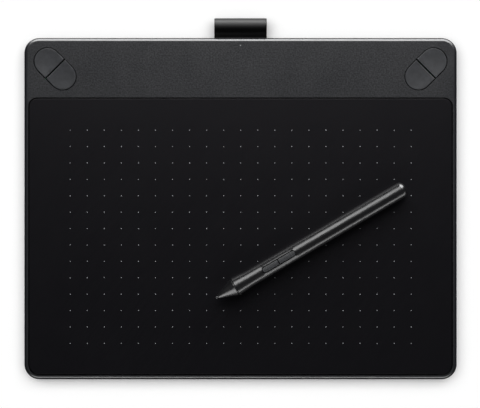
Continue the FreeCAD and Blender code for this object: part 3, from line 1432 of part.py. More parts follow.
def pen_insides():
    """Ferrite, coil, pressure sensor, board, domes and the chassis that holds them."""
    keep(turned_piece("pen_ferrite", [
        ("ferrite_start", "ferrite_bore"), ("ferrite_start", "ferrite_radius"),
        ("ferrite_start + ferrite_length", "ferrite_radius"),
        ("ferrite_start + ferrite_length", "ferrite_bore"),
    ]))
    coil_start = "( ferrite_start + ferrite_length - coil_length )"
    keep(turned_piece("pen_coil", [
        (coil_start, "ferrite_radius + fit_clear"), (coil_start, "coil_radius"),
        (f"{coil_start} + coil_length", "coil_radius"),
        (f"{coil_start} + coil_length", "ferrite_radius + fit_clear"),
    ]))
    front = "( nib_length + nib_travel + cone_clear )"
    keep(turned_piece("pen_pressure_sensor", [
        (front, "0"), (front, "pressure_radius"), (f"{front} + pressure_length", "pressure_radius"),
        (f"{front} + pressure_length", "0"),
    ]))
    chassis_start = f"{front} + pressure_length"
    chassis_end = "( pen_board_start + pen_board_length + chassis_over )"
    chassis = turned_piece("pen_chassis", [
        (chassis_start, "chassis_radius - chassis_wall"), (chassis_start, "chassis_radius"),
        (chassis_end, "chassis_radius"), (chassis_end, "chassis_radius - chassis_wall"),
    ])
    cut = sketch_on(chassis, "OpenTop", x=f"( {chassis_start} + {chassis_end} ) / 2", z="pen_board_level")
    rectangle(cut, f"{chassis_end} - ( {chassis_start} ) + chassis_over", "3 * chassis_radius")
    pocket(chassis, cut, "2 * chassis_radius", "OpenTopCut", reverse=True)
    keep(chassis)
    board = pen_body("pen_board")
    drawn = sketch_on(board, "Board", x="pen_board_start + pen_board_length / 2", z="pen_board_level")
    rectangle(drawn, "pen_board_length", "pen_board_width")
    pad(board, drawn, "pen_board_thick", "BoardPad")
    keep(board)

    radius, tall = value("dome_radius"), value("dome_tall")
    level = value("dome_top") - tall
    domes = [Part.makeCone(radius, radius / 2, tall, Vector(x, 0, level)) for x in dome_places()]
    shape = Part.makeCompound(domes)
    shape.Placement = PEN
    made = doc.addObject("Part::Feature", "pen_switch_domes")
    made.Label = "pen_switch_domes"
    made.Shape = shape
    keep(made)


def build():
    bottom_cover()
    sensor_support()
    compartment_tub()
    top_cover()
    surface_stack()
    for key in KEYS:
        key_cap(*key)
    key_switches()
    key_buttons()
    control_board()
    control_chips()
    ribbons()
    usb_socket()
    status_light()
    power_control()
    touch_control()
    pen_loop()
    loop_retainer()
    compartment_cover()
    compartment_fittings()
    rubber_feet()
    screws()
    pen_shell()
    pen_nib()
    for half in SWITCH_HALVES:
        pen_switch(*half)
    pen_insides()
    doc.recompute()


def check_and_write():
    """Stops if anything in the document failed, then writes each sub-part to its own file."""
    for thing in doc.Objects:
        if "Invalid" in thing.State or "Error" in thing.State:
            raise RuntimeError(f"{thing.Label} did not recompute: {thing.State}")
    os.makedirs("parts", exist_ok=True)
    for piece in SUBPARTS:
        shape = piece.Shape
        if shape.isNull() or not shape.isValid():
            raise RuntimeError(f"{piece.Label} has no valid shape")
    for piece in SUBPARTS:
        piece.Shape.exportStep(f"parts/{piece.Label}.step")
    print(f"{len(SUBPARTS)} sub-parts written")


build()
check_and_write()
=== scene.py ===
import json
import math

import bmesh
import bpy
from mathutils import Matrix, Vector


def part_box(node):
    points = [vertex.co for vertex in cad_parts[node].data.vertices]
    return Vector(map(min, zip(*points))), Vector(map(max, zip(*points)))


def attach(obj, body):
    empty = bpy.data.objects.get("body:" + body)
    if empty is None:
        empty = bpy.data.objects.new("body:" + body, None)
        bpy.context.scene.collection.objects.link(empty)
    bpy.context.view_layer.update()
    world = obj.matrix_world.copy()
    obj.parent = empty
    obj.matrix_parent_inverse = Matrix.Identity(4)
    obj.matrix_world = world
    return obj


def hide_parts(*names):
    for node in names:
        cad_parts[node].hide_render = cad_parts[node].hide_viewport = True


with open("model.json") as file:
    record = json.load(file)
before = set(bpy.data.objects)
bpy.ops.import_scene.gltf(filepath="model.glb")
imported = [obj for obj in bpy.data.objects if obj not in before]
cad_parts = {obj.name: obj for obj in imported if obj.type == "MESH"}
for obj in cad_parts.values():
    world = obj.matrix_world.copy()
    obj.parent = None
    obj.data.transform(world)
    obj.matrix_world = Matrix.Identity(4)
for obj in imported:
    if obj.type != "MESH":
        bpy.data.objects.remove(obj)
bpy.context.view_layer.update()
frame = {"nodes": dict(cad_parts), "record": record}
mm = 0.001
print("frame loaded:", len(frame["nodes"]), "nodes")


# Colours and nodes

def linearColor(hexCode):  # sRGB hex to linear, with an opaque alpha
    channels = [int(hexCode[i:i + 2], 16) / 255 for i in (0, 2, 4)]
    return [c / 12.92 if c <= 0.04045 else ((c + 0.055) / 1.055) ** 2.4 for c in channels] + [1.0]


def addNode(tree, kind, inputs=None, **settings):  # inputs by name or index: a socket links, anything else sets
    node = tree.nodes.new(kind)
    for key, setting in settings.items():
        setattr(node, key, setting)
    for key, given in (inputs or {}).items():
        if isinstance(given, bpy.types.NodeSocket):
            tree.links.new(given, node.inputs[key])
        else:
            node.inputs[key].default_value = given
    return node


def newMaterial(name, **surface):  # returns the material, its tree, its shader and the object coordinates
    material = bpy.data.materials.new(name)
    material.use_nodes = True
    tree = material.node_tree
    tree.nodes.clear()
    shader = addNode(tree, "ShaderNodeBsdfPrincipled", surface)
    addNode(tree, "ShaderNodeOutputMaterial", {"Surface": shader.outputs[0]})
    place = addNode(tree, "ShaderNodeTexCoord")
    return material, tree, shader, place.outputs["Object"]


def perMetre(cellMm):  # texture scale that makes one cell this many millimetres
    return 1 / (cellMm * mm)


def noise(tree, vector, cellMm, detail, **more):  # cloudy values, with so many octaves of detail
    return addNode(tree, "ShaderNodeTexNoise",
                   {"Vector": vector, "Scale": perMetre(cellMm), "Detail": detail, **more}).outputs["Fac"]


def remap(tree, value, span, to=(0.0, 1.0)):  # stretches a span of values and clamps the rest
    return addNode(tree, "ShaderNodeMapRange", {"Value": value, "From Min": span[0], "From Max": span[1],
                                                "To Min": to[0], "To Max": to[1]}).outputs[0]


def mixColors(tree, factor, first, second, blend="MIX"):
    return addNode(tree, "ShaderNodeMixRGB", {"Fac": factor, "Color1": first, "Color2": second},
                   blend_type=blend).outputs[0]


def paint(tree, shader, factor, low, high):  # base colour between two hex colours
    tree.links.new(mixColors(tree, factor, linearColor(low), linearColor(high)), shader.inputs["Base Color"])


def emboss(tree, shader, height, strength, depthMm):  # relief that is too fine for the mesh
    bump = addNode(tree, "ShaderNodeBump", {"Height": height, "Strength": strength, "Distance": depthMm * mm})
    tree.links.new(bump.outputs[0], shader.inputs["Normal"])


# Finishes of the moulded plastics

mouldedLooks = {
    # top cover: ABS from a spark-eroded mould, a fine matte grain with a faint mottle
    "texturedAbs": {"low": "050608", "high": "121317", "mottleMm": 0.95, "grainMm": 0.6, "grainDepthMm": 0.03,
                    "rough": (0.42, 0.5), "specular": 0.38, "facets": 0.32, "shadeReachMm": 1.2,
                    "polished": (0.3, 0.95)},
    # bottom cover: the same resin, coarser grain, blacker
    "coarseAbs": {"low": "1a1a1b", "high": "1f1f20", "mottleMm": 2.2, "grainMm": 0.8, "grainDepthMm": 0.03,
                  "rough": (0.52, 0.68), "specular": 0.4, "shadeReachMm": 1.0},
    # keys: satin polycarbonate blend, nearly smooth
    "satinKeys": {"low": "1c1d1f", "high": "232427", "mottleMm": 3.4, "grainMm": 0.35, "grainDepthMm": 0.004,
                  "rough": (0.38, 0.46), "specular": 0.37, "shadeReachMm": 1.0},
    # power button and touch knob: the keys' blend, a little lighter
    "satinControls": {"low": "262628", "high": "2e2e30", "mottleMm": 2.0, "grainMm": 0.3, "grainDepthMm": 0.004,
                      "rough": (0.38, 0.5), "specular": 0.5, "shadeReachMm": 0.5},
    # side switch of the pen: matte elastomer-like lacquer
    "softSwitch": {"low": "111214", "high": "2b2c2e", "mottleMm": 0.8, "grainMm": 0.45, "grainDepthMm": 0.03,
                   "rough": (0.5, 0.6), "specular": 0.3, "shadeReachMm": 1.0},
    # nib and inner mouldings: acetal, slightly waxy
    "acetal": {"low": "1f1f20", "high": "29292a", "mottleMm": 1.2, "grainMm": 0.3, "grainDepthMm": 0.002,
               "rough": (0.34, 0.44), "specular": 0.5, "shadeReachMm": 0.5},
    # feet: black silicone rubber, dusty matte
    "siliconeRubber": {"low": "121212", "high": "1a1a1a", "mottleMm": 1.8, "grainMm": 0.5, "grainDepthMm": 0.02,
                       "rough": (0.74, 0.9), "specular": 0.25, "shadeReachMm": 0.5},
    # integrated circuits and switch housings: moulded epoxy
    "epoxyMould": {"low": "161616", "high": "202020", "mottleMm": 1.0, "grainMm": 0.15, "grainDepthMm": 0.006,
                   "rough": (0.5, 0.66), "specular": 0.4, "shadeReachMm": 0.5},
}
# shared by all of them: facets is how far the shine varies with the mottle; topTilt and wallTilt are the heights of
# the normal where a rounded edge starts and ends; openSpan, gapShade and gapSamples turn ambient occlusion into
# painted shade in gaps
mouldedWear = {"mottleSpan": (0.34, 0.66), "mottleRough": 0.62, "openSpan": (0.4, 0.85), "gapShade": 0.03,
               "gapSamples": 6, "smudgeMm": 22.0, "smudgeRough": 0.55, "smudgeWarp": 0.6, "smudgeSpan": (0.3, 0.7),
               "topTilt": (0.997, 0.97), "wallTilt": (0.1, 0.4), "facets": 0.05, "grainStrength": 0.9}


def mouldedPlastic(name, look):
    wear = mouldedWear
    material, tree, shader, coords = newMaterial(name, IOR=1.5)
    mottle = noise(tree, coords, look["mottleMm"], detail=4.0, Roughness=wear["mottleRough"])
    mottle = remap(tree, mottle, wear["mottleSpan"])
    color = mixColors(tree, mottle, linearColor(look["low"]), linearColor(look["high"]))
    # painted shade: ambient occlusion darkens the colour in narrow gaps, so seams read as crisp dark lines
    occlusion = addNode(tree, "ShaderNodeAmbientOcclusion", {"Distance": look["shadeReachMm"] * mm},
                     samples=wear["gapSamples"])
    paintedShade = remap(tree, occlusion.outputs["AO"], wear["openSpan"], (wear["gapShade"], 1.0))
    tree.links.new(mixColors(tree, 1.0, color, paintedShade, "MULTIPLY"), shader.inputs["Base Color"])
    # rounded edges: palms have rubbed the grain off them
    normal = addNode(tree, "ShaderNodeSeparateXYZ", {"Vector": coords.node.outputs["Normal"]}).outputs["Z"]
    edge = addNode(tree, "ShaderNodeMath", {0: remap(tree, normal, wear["topTilt"]),
                                            1: remap(tree, normal, wear["wallTilt"])}, operation="MULTIPLY")
    polished = look.get("polished", (look["rough"][0], look["specular"]))
    # handling: broad soft smudges shift the roughness
    smudge = noise(tree, coords, wear["smudgeMm"], detail=3.0, Roughness=wear["smudgeRough"],
                   Distortion=wear["smudgeWarp"])
    gloss = remap(tree, smudge, wear["smudgeSpan"], look["rough"][::-1])
    rough = addNode(tree, "ShaderNodeMix", {"Factor": edge.outputs[0], "A": gloss, "B": polished[0]})
    tree.links.new(rough.outputs[0], shader.inputs["Roughness"])
    uneven = look.get("facets", wear["facets"])
    facets = remap(tree, mottle, (0.0, 1.0), (look["specular"] * (1 - uneven), look["specular"] * (1 + uneven)))
    shine = addNode(tree, "ShaderNodeMix", {"Factor": edge.outputs[0], "A": facets, "B": polished[1]})
    # painted shade: the same occlusion also dims the shine in the gaps
    shine = addNode(tree, "ShaderNodeMath", {0: paintedShade, 1: shine.outputs[0]}, operation="MULTIPLY")
    tree.links.new(shine.outputs[0], shader.inputs["Specular IOR Level"])
    emboss(tree, shader, noise(tree, coords, look["grainMm"], detail=2.0), wear["grainStrength"], look["grainDepthMm"])
    return material


# Drawing sheet: hard-coated matte PET film, with hair-fine rub marks that the nib leaves
filmLook = {"low": "040406", "high": "070709", "cloudMm": 34.0, "specular": 0.205, "tint": "fffaff", "rough": 0.355,
            "toothMm": 0.45, "toothStrength": 0.8, "toothDepthMm": 0.006, "rubMm": 0.7, "rubStretch": 20,
            "rubTurn": -38, "rubSpan": (0.35, 0.75), "rubDuller": 0.012, "rubGlossier": 0.018}


def matteFilm():
    material, tree, shader, coords = newMaterial(
        "mattePetFilm", **{"Specular IOR Level": filmLook["specular"], "IOR": 1.5,
                           "Specular Tint": linearColor(filmLook["tint"])})
    paint(tree, shader, noise(tree, coords, filmLook["cloudMm"], detail=5.0), filmLook["low"], filmLook["high"])
    # rub marks: long thin noise, laid along the strokes of a right hand
    turned = addNode(tree, "ShaderNodeMapping", {
        "Vector": coords, "Rotation": (0, 0, math.radians(filmLook["rubTurn"])),
        "Scale": (1, filmLook["rubStretch"], 1)}, vector_type="TEXTURE")
    marks = remap(tree, noise(tree, turned.outputs[0], filmLook["rubMm"], detail=2.0), filmLook["rubSpan"],
                  (filmLook["rough"] + filmLook["rubDuller"], filmLook["rough"] - filmLook["rubGlossier"]))
    tree.links.new(marks, shader.inputs["Roughness"])
    emboss(tree, shader, noise(tree, coords, filmLook["toothMm"], detail=1.0), filmLook["toothStrength"],
           filmLook["toothDepthMm"])
    return material


# Dots: screen-printed grey ink, a touch uneven
inkLook = {"low": "7b7d7f", "high": "848688", "speckMm": 3.1, "rough": 0.6}


def dotInk():
    material, tree, shader, coords = newMaterial("screenInk", Roughness=inkLook["rough"])
    paint(tree, shader, noise(tree, coords, inkLook["speckMm"], detail=2.0), inkLook["low"], inkLook["high"])
    return material


# Pen barrel and nose: ABS sprayed with a near-black satin lacquer, a very fine flake in it
lacquers = {
    "satinLacquer": {"dark": "040405", "flake": "0b0b0d", "rough": (0.28, 0.33), "specular": 0.6},
    "noseLacquer": {"dark": "060607", "flake": "101012", "rough": (0.3, 0.35), "specular": 0.6},
}
lacquerGrain = {"flakeMm": 0.12, "flakeSpan": (0.1, 0.9), "handledMm": 9.0, "handledSpan": (0.3, 0.7), "peelMm": 0.9,
                "peelStrength": 0.5, "peelDepthMm": 0.0015}


def satinLacquer(name, dark, flake, rough, specular):
    grain = lacquerGrain
    material, tree, shader, coords = newMaterial(name, **{"Specular IOR Level": specular})
    flakes = addNode(tree, "ShaderNodeTexVoronoi", {"Vector": coords, "Scale": perMetre(grain["flakeMm"])})
    paint(tree, shader, remap(tree, flakes.outputs["Distance"], grain["flakeSpan"]), flake, dark)
    gloss = remap(tree, noise(tree, coords, grain["handledMm"], detail=4.0), grain["handledSpan"], rough)
    tree.links.new(gloss, shader.inputs["Roughness"])
    emboss(tree, shader, noise(tree, coords, grain["peelMm"], detail=1.0), grain["peelStrength"], grain["peelDepthMm"])
    return material


# Pen loop: polyester satin tape, warp-faced, so it shines across the bend
tapeLook = {"dark": "020203", "light": "070708", "yarnMm": 0.55, "yarnStrength": 0.6, "yarnDepthMm": 0.03,
            "warpWander": 0.4, "weftWander": 0.5, "weaveBase": 0.1, "rough": 0.46, "specular": 0.45, "sheen": 0.25,
            "sheenRough": 0.3}


def satinTape():
    material, tree, shader = newMaterial(
        "polyesterSatinTape", **{"Specular IOR Level": tapeLook["specular"], "Sheen Weight": tapeLook["sheen"],
                                 "Sheen Roughness": tapeLook["sheenRough"], "Roughness": tapeLook["rough"]})[:3]
    along = addNode(tree, "ShaderNodeUVMap", uv_map="along").outputs[0]
    yarns = 0.5 / tapeLook["yarnMm"]
    warp = addNode(tree, "ShaderNodeTexWave", {"Vector": along, "Scale": yarns, "Distortion": tapeLook["warpWander"],
                                               "Detail": 1.0, "Detail Scale": 2.0}, bands_direction="X")
    weft = addNode(tree, "ShaderNodeTexWave", {"Vector": along, "Scale": yarns, "Distortion": tapeLook["weftWander"],
                                               "Detail": 1.0}, bands_direction="Y")
    weave = addNode(tree, "ShaderNodeMath", {0: warp.outputs["Fac"], 1: weft.outputs["Fac"], 2: tapeLook["weaveBase"]},
                    operation="MULTIPLY_ADD").outputs[0]
    paint(tree, shader, weave, tapeLook["dark"], tapeLook["light"])
    emboss(tree, shader, weave, tapeLook["yarnStrength"], tapeLook["yarnDepthMm"])
    return material


# Drawn, turned or rolled metals with faint tool lines along their height
metals = {
    "zincSteel": {"low": "8d8f92", "high": "b4b6b8", "rough": 0.34},  # screws: bright zinc plating
    "tinSteel": {"low": "a3a5a6", "high": "c6c7c8", "rough": 0.26},  # socket shell and domes: tin plating
    "goldFlash": {"low": "b58a3c", "high": "d8b265", "rough": 0.24},  # battery contacts: thin gold over nickel
    "enamelledCopper": {"low": "8a3d1a", "high": "b8622f", "rough": 0.3},  # pen coil: enamelled winding wire
    "sinteredFerrite": {"low": "2a2a2c", "high": "3a3a3d", "rough": 0.55},  # pen core: ground ferrite
    "rolledAluminium": {"low": "9fa2a5", "high": "bcbfc2", "rough": 0.38},  # shield plate: mill finish
}
toolLines = {"widthMm": 0.3, "stretch": 0.15, "glossier": 0.08, "duller": 0.1, "strength": 0.3, "depthMm": 0.004}


def toolMarkedMetal(name, low, high, rough):
    material, tree, shader, coords = newMaterial(name, Metallic=1.0)
    lines = addNode(tree, "ShaderNodeMapping", {"Vector": coords, "Scale": (1, 1, toolLines["stretch"])})
    streak = noise(tree, lines.outputs[0], toolLines["widthMm"], detail=3.0)
    paint(tree, shader, streak, low, high)
    gloss = remap(tree, streak, (0.0, 1.0), (rough - toolLines["glossier"], rough + toolLines["duller"]))
    tree.links.new(gloss, shader.inputs["Roughness"])
    emboss(tree, shader, streak, toolLines["strength"], toolLines["depthMm"])
    return material


# Glass-epoxy boards under their mask, copper tracks show as a faint relief
boards = {
    "solderMask": {"low": "0f3d24", "high": "114528", "tracks": "1d6a3c"},  # tablet's boards: green mask
    "blackMask": {"low": "0d0e0e", "high": "111212", "tracks": "1c1e1d"},  # pen's board: black mask
}
boardMask = {"cellMm": 6.0, "gap": 0.03, "rough": 0.32, "coat": 0.3, "strength": 0.4, "depthMm": 0.03}


def maskedBoard(name, low, high, tracks):
    material, tree, shader, coords = newMaterial(name, **{"Roughness": boardMask["rough"],
                                                          "Coat Weight": boardMask["coat"]})
    grid = addNode(tree, "ShaderNodeTexBrick", {"Vector": coords, "Scale": perMetre(boardMask["cellMm"]),
                                                "Mortar Size": boardMask["gap"], "Color1": linearColor(low),
                                                "Color2": linearColor(high), "Mortar": linearColor(tracks)})
    tree.links.new(grid.outputs["Color"], shader.inputs["Base Color"])
    emboss(tree, shader, grid.outputs["Fac"], boardMask["strength"], boardMask["depthMm"])
    return material


# Thin films inside the tablet, never quite flat
films = {
    "polyimideFlex": {"low": "9a5a12", "high": "b9761f", "rough": 0.28, "alpha": 1.0},  # ribbons: amber polyimide
    "clearFilm": {"low": "c2c6c8", "high": "d6dadc", "rough": 0.15, "alpha": 0.45},  # touch film: clear PET
    "acrylicAdhesive": {"low": "a9a89f", "high": "bbbab2", "rough": 0.5, "alpha": 1.0},  # double-sided acrylic tape
}
filmWrinkle = {"cellMm": 7.0, "strength": 0.3, "depthMm": 0.05}


def thinFilm(name, low, high, rough, alpha):
    material, tree, shader, coords = newMaterial(name, Roughness=rough, Alpha=alpha)
    wrinkle = noise(tree, coords, filmWrinkle["cellMm"], detail=3.0)
    paint(tree, shader, wrinkle, low, high)
    emboss(tree, shader, wrinkle, filmWrinkle["strength"], filmWrinkle["depthMm"])
    return material


# Light window and light guide: milky acrylic that carries the status light
lensLook = {"low": "66686a", "high": "7a7c7e", "hazeMm": 1.0, "rough": 0.35, "clear": 0.15}


def diffusingLens():
    material, tree, shader, coords = newMaterial("milkyAcrylic", **{"Roughness": lensLook["rough"],
                                                                    "Transmission Weight": lensLook["clear"]})
    paint(tree, shader, noise(tree, coords, lensLook["hazeMm"], detail=2.0), lensLook["low"], lensLook["high"])
    return material


finishes = {name: mouldedPlastic(name, look) for name, look in mouldedLooks.items()}
for makeFinish, looks in ((satinLacquer, lacquers), (toolMarkedMetal, metals), (maskedBoard, boards),
                          (thinFilm, films)):
    finishes.update({name: makeFinish(name, **look) for name, look in looks.items()})
finishes["mattePetFilm"] = matteFilm()
finishes["screenInk"] = dotInk()
finishes["polyesterSatinTape"] = satinTape()
finishes["milkyAcrylic"] = diffusingLens()
print("finishes made:", len(finishes))

nodeFinish = {
    "top_cover": "texturedAbs", "bottom_cover": "coarseAbs", "compartment_cover": "coarseAbs",
    "compartment_tub": "coarseAbs", "sensor_support": "coarseAbs",
    "drawing_surface": "mattePetFilm", "surface_adhesive": "acrylicAdhesive", "touch_film": "clearFilm",
    "sensor_board": "solderMask", "shield_plate": "rolledAluminium", "control_board": "solderMask",
    "control_chips": "epoxyMould", "sensor_ribbon": "polyimideFlex", "touch_ribbon": "polyimideFlex",
    "usb_shell": "tinSteel", "usb_tongue": "epoxyMould", "status_led": "milkyAcrylic",
    "status_light_guide": "milkyAcrylic", "key_switches": "epoxyMould", "touch_switch": "epoxyMould",
    "touch_knob": "satinControls", "power_switch": "epoxyMould", "power_button": "satinControls",
    "pen_loop": "polyesterSatinTape", "loop_retainer": "acetal", "battery_contacts": "goldFlash",
    "module_connector": "epoxyMould", "spare_nibs": "acetal", "nib_remover": "zincSteel",
    "rubber_feet": "siliconeRubber", "case_screws": "zincSteel", "board_screws": "zincSteel",
    "pen_barrel": "satinLacquer", "pen_tail_cap": "satinLacquer", "pen_nose_cone": "noseLacquer",
    "pen_collar": "acetal", "pen_nib": "acetal", "pen_switch_lower": "softSwitch", "pen_switch_upper": "softSwitch",
    "pen_switch_domes": "tinSteel", "pen_board": "blackMask", "pen_chassis": "acetal",
    "pen_coil": "enamelledCopper", "pen_ferrite": "sinteredFerrite", "pen_pressure_sensor": "epoxyMould",
}


def finishOf(node):
    if node.endswith("_key_switch_button"):
        return "satinControls"
    return "satinKeys" if node.endswith("_key") else nodeFinish[node]


nodeBody = {node: body for body, nodes in frame["record"]["behaviour"]["bodies"].items() for node in nodes}
ridden = {body: [] for body in nodeBody.values()}  # every object by the body that it rides
for node, shown in frame["nodes"].items():
    shown.data.materials.clear()
    shown.data.materials.append(finishes[finishOf(node)])
    ridden[nodeBody[node]].append(shown)
print("nodes dressed")


# Pieces that stand for a CAD node: the same shape with eased edges and even shading

def plainMesh(source, name):  # evaluates the modifiers into a mesh of its own and drops the source
    graph = bpy.context.evaluated_depsgraph_get()
    mesh = bpy.data.meshes.new_from_object(source.evaluated_get(graph), preserve_all_data_layers=True, depsgraph=graph)
    bpy.data.objects.remove(source)
    mesh.name = name
    piece = bpy.data.objects.new(name, mesh)
    bpy.context.scene.collection.objects.link(piece)
    return piece


def settle(piece, node):
    body = nodeBody[node]
    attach(piece, body)
    ridden[body].append(piece)
    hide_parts(node)


# width of the eased edge, 0 where only the shading is evened
easedNodes = {
    "top_cover": 0.12, "bottom_cover": 0.15, "compartment_cover": 0.15, "drawing_surface": 0.0,
    "left_upper_key": 0.0, "left_lower_key": 0.0, "right_upper_key": 0.0, "right_lower_key": 0.0,
    "power_button": 0.15, "touch_knob": 0.15, "usb_shell": 0.06, "rubber_feet": 0.35,
    "pen_barrel": 0.0, "pen_nose_cone": 0.0, "pen_tail_cap": 0.0, "pen_nib": 0.08,
    "pen_switch_lower": 0.2, "pen_switch_upper": 0.2, "pen_collar": 0.1,
}
# corners of more than corner degrees are rounded, and those of more than crisp degrees shade as a line
easing = {"corner": 50, "nodeCorner": {"pen_nib": 35}, "crisp": 32, "steps": 2, "weldMm": 0.0005}


def splitShading(mesh, degrees):  # smooth faces that meet in a crisp line where the corner is sharper than this
    shape = bmesh.new()
    shape.from_mesh(mesh)
    for face in shape.faces:
        face.smooth = True
    for edge in shape.edges:
        edge.smooth = not edge.is_manifold or edge.calc_face_angle() < math.radians(degrees)
    shape.to_mesh(mesh)
    shape.free()


def easedShape(mesh, name, width, degrees):
    splitShading(mesh, 180)  # drops the lines that came with the mesh
    source = bpy.data.objects.new(name + "_source", mesh)
    bpy.context.scene.collection.objects.link(source)
    if width:
        bevel = source.modifiers.new("ease", "BEVEL")
        bevel.width = width * mm
        bevel.segments = easing["steps"]
        bevel.limit_method = "ANGLE"
        bevel.angle_limit = math.radians(degrees)
        bevel.use_clamp_overlap = True
    piece = plainMesh(source, name)
    splitShading(piece.data, easing["crisp"])
    weigh = piece.modifiers.new("even", "WEIGHTED_NORMAL")
    weigh.keep_sharp = True
    return plainMesh(piece, name)


def easedCopy(node, width):
    mesh = frame["nodes"][node].data.copy()
    shape = bmesh.new()
    shape.from_mesh(mesh)
    bmesh.ops.remove_doubles(shape, verts=shape.verts, dist=easing["weldMm"] * mm)
    bmesh.ops.dissolve_degenerate(shape, edges=shape.edges, dist=easing["weldMm"] * mm)
    shape.to_mesh(mesh)
    shape.free()
    piece = easedShape(mesh, node + "_shown", width, easing["nodeCorner"].get(node, easing["corner"]))
    settle(piece, node)


for node, width in easedNodes.items():
    easedCopy(node, width)
print("eased pieces:", len(easedNodes))


# Trees of geometry nodes

def newTree(name, inputs):  # a geometry tree with float or integer inputs, returned with its input node and sockets
    tree = bpy.data.node_groups.new(name, "GeometryNodeTree")
    tree.interface.new_socket("Geometry", in_out="INPUT", socket_type="NodeSocketGeometry")
    sockets = {}
    for label, start in inputs.items():
        kind = "NodeSocketInt" if isinstance(start, int) else "NodeSocketFloat"
        sockets[label] = tree.interface.new_socket(label, in_out="INPUT", socket_type=kind)
        sockets[label].default_value = start
    tree.interface.new_socket("Geometry", in_out="OUTPUT", socket_type="NodeSocketGeometry")
    return tree, tree.nodes.new("NodeGroupInput"), sockets


def closeTree(tree, geometry, material):  # instances made real, one material
    real = addNode(tree, "GeometryNodeRealizeInstances", {"Geometry": geometry})
    dressed = addNode(tree, "GeometryNodeSetMaterial", {"Geometry": real.outputs[0], "Material": material})
    addNode(tree, "NodeGroupOutput", {0: dressed.outputs[0]})


def runTree(tree, sockets, values, name, mesh=None):
    holder = bpy.data.objects.new(name + "_source", mesh or bpy.data.meshes.new(name + "_source"))
    bpy.context.scene.collection.objects.link(holder)
    modifier = holder.modifiers.new("nodes", "NODES")
    modifier.node_group = tree
    for label, given in values.items():
        modifier[sockets[label].identifier] = given
    return plainMesh(holder, name)


# The photograph: its scale holds at outlineMm, where the tablet is widest, and what lies higher is nearer the lens.
# middleX and middleY are the pixel of the tablet's middle, which lies at shiftY in the frame
photo = {"mmPerPixel": 0.6361, "middleX": 240.53, "middleY": 208.65, "shiftY": -6.4, "outlineMm": 8.5,
         "width": 480, "height": 408, "lens": 120.0, "sensor": 36.0}
lensMm = photo["width"] * photo["mmPerPixel"] * photo["lens"] / photo["sensor"]


def photoSpot(across, down, levelMm=photo["outlineMm"]):  # a pixel's x and y in the frame, at a height over the floor
    nearer = 1 - (levelMm - photo["outlineMm"]) / lensMm
    return ((across - photo["middleX"]) * photo["mmPerPixel"] * nearer,
            (photo["middleY"] - down) * photo["mmPerPixel"] * nearer + photo["shiftY"])


# Dot grid: printed on the sheet; its first and last dots are pixels of the photograph

dots = {"columns": 21, "rows": 14, "firstX": 70.2, "lastX": 411.22, "firstY": 130.17, "lastY": 343.31,
        "diameter": 0.51, "corners": 12, "proud": 0.02}


def dotTree(values):
    tree, given, sockets = newTree("dotField", values)
    grid = addNode(tree, "GeometryNodeMeshGrid", {"Size X": given.outputs["Width"], "Size Y": given.outputs["Depth"],
                                                  "Vertices X": given.outputs["Columns"],
                                                  "Vertices Y": given.outputs["Rows"]})
    disc = addNode(tree, "GeometryNodeMeshCircle", {"Vertices": dots["corners"], "Radius": given.outputs["Radius"]},
                   fill_type="NGON")
    spread = addNode(tree, "GeometryNodeInstanceOnPoints", {"Points": grid.outputs[0], "Instance": disc.outputs[0]})
    place = addNode(tree, "ShaderNodeCombineXYZ", {"X": given.outputs["Shift X"], "Y": given.outputs["Shift Y"],
                                                   "Z": given.outputs["Level"]})
    moved = addNode(tree, "GeometryNodeTransform", {"Geometry": spread.outputs[0], "Translation": place.outputs[0]})
    closeTree(tree, moved.outputs[0], finishes["screenInk"])
    return tree, sockets


def dotGrid():
    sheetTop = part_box("drawing_surface")[1].z
    left, back = photoSpot(dots["firstX"], dots["firstY"], sheetTop / mm)
    right, front = photoSpot(dots["lastX"], dots["lastY"], sheetTop / mm)
    values = {"Columns": dots["columns"], "Rows": dots["rows"], "Width": (right - left) * mm,
              "Depth": (back - front) * mm, "Radius": dots["diameter"] / 2 * mm, "Shift X": (left + right) / 2 * mm,
              "Shift Y": (back + front) / 2 * mm, "Level": sheetTop + dots["proud"] * mm}
    piece = runTree(*dotTree(values), values, "dot_grid")
    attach(piece, "tablet")
    ridden["tablet"].append(piece)


dotGrid()
print("dot grid printed")


# Case screws: one cross-head screw set in each recess of the underside, stopped at its own turn

caseScrews = {"edge": 0.12, "mostTurn": 90, "stopSeed": 5}


def screwTree(screw, values):
    tree, given, sockets = newTree("screwSet", values)
    shape = addNode(tree, "GeometryNodeObjectInfo", {"Object": screw})
    stop = addNode(tree, "FunctionNodeRandomValue", {"Max": given.outputs["Turn"], "Seed": given.outputs["Seed"]},
                   data_type="FLOAT")
    turn = addNode(tree, "ShaderNodeCombineXYZ", {"Z": stop.outputs[1]})
    spread = addNode(tree, "GeometryNodeInstanceOnPoints", {"Points": given.outputs["Geometry"],
                                                            "Instance": shape.outputs["Geometry"],
                                                            "Rotation": turn.outputs[0]})
    closeTree(tree, spread.outputs[0], finishes["zincSteel"])
    return tree, sockets


def firstScrew():  # the mesh of one screw, its axis at the origin, and where the axis of each screw stands
    shape = bmesh.new()
    shape.from_mesh(frame["nodes"]["case_screws"].data)
    bmesh.ops.remove_doubles(shape, verts=shape.verts, dist=easing["weldMm"] * mm)
    left = set(shape.verts)
    axes, first = [], None
    while left:  # one island of the node's mesh for each screw
        island, front = set(), [min(left, key=lambda v: v.index)]
        while front:
            corner = front.pop()
            if corner not in island:
                island.add(corner)
                front += [edge.other_vert(corner) for edge in corner.link_edges]
        left -= island
        spans = [[v.co[axis] for v in island] for axis in (0, 1)]
        axes.append(Vector([(min(span) + max(span)) / 2 for span in spans] + [0.0]))
        first = first or island
    bmesh.ops.delete(shape, geom=[v for v in shape.verts if v not in first], context="VERTS")
    bmesh.ops.translate(shape, verts=shape.verts, vec=-axes[0])
    mesh = bpy.data.meshes.new("case_screw")
    shape.to_mesh(mesh)
    shape.free()
    return mesh, axes


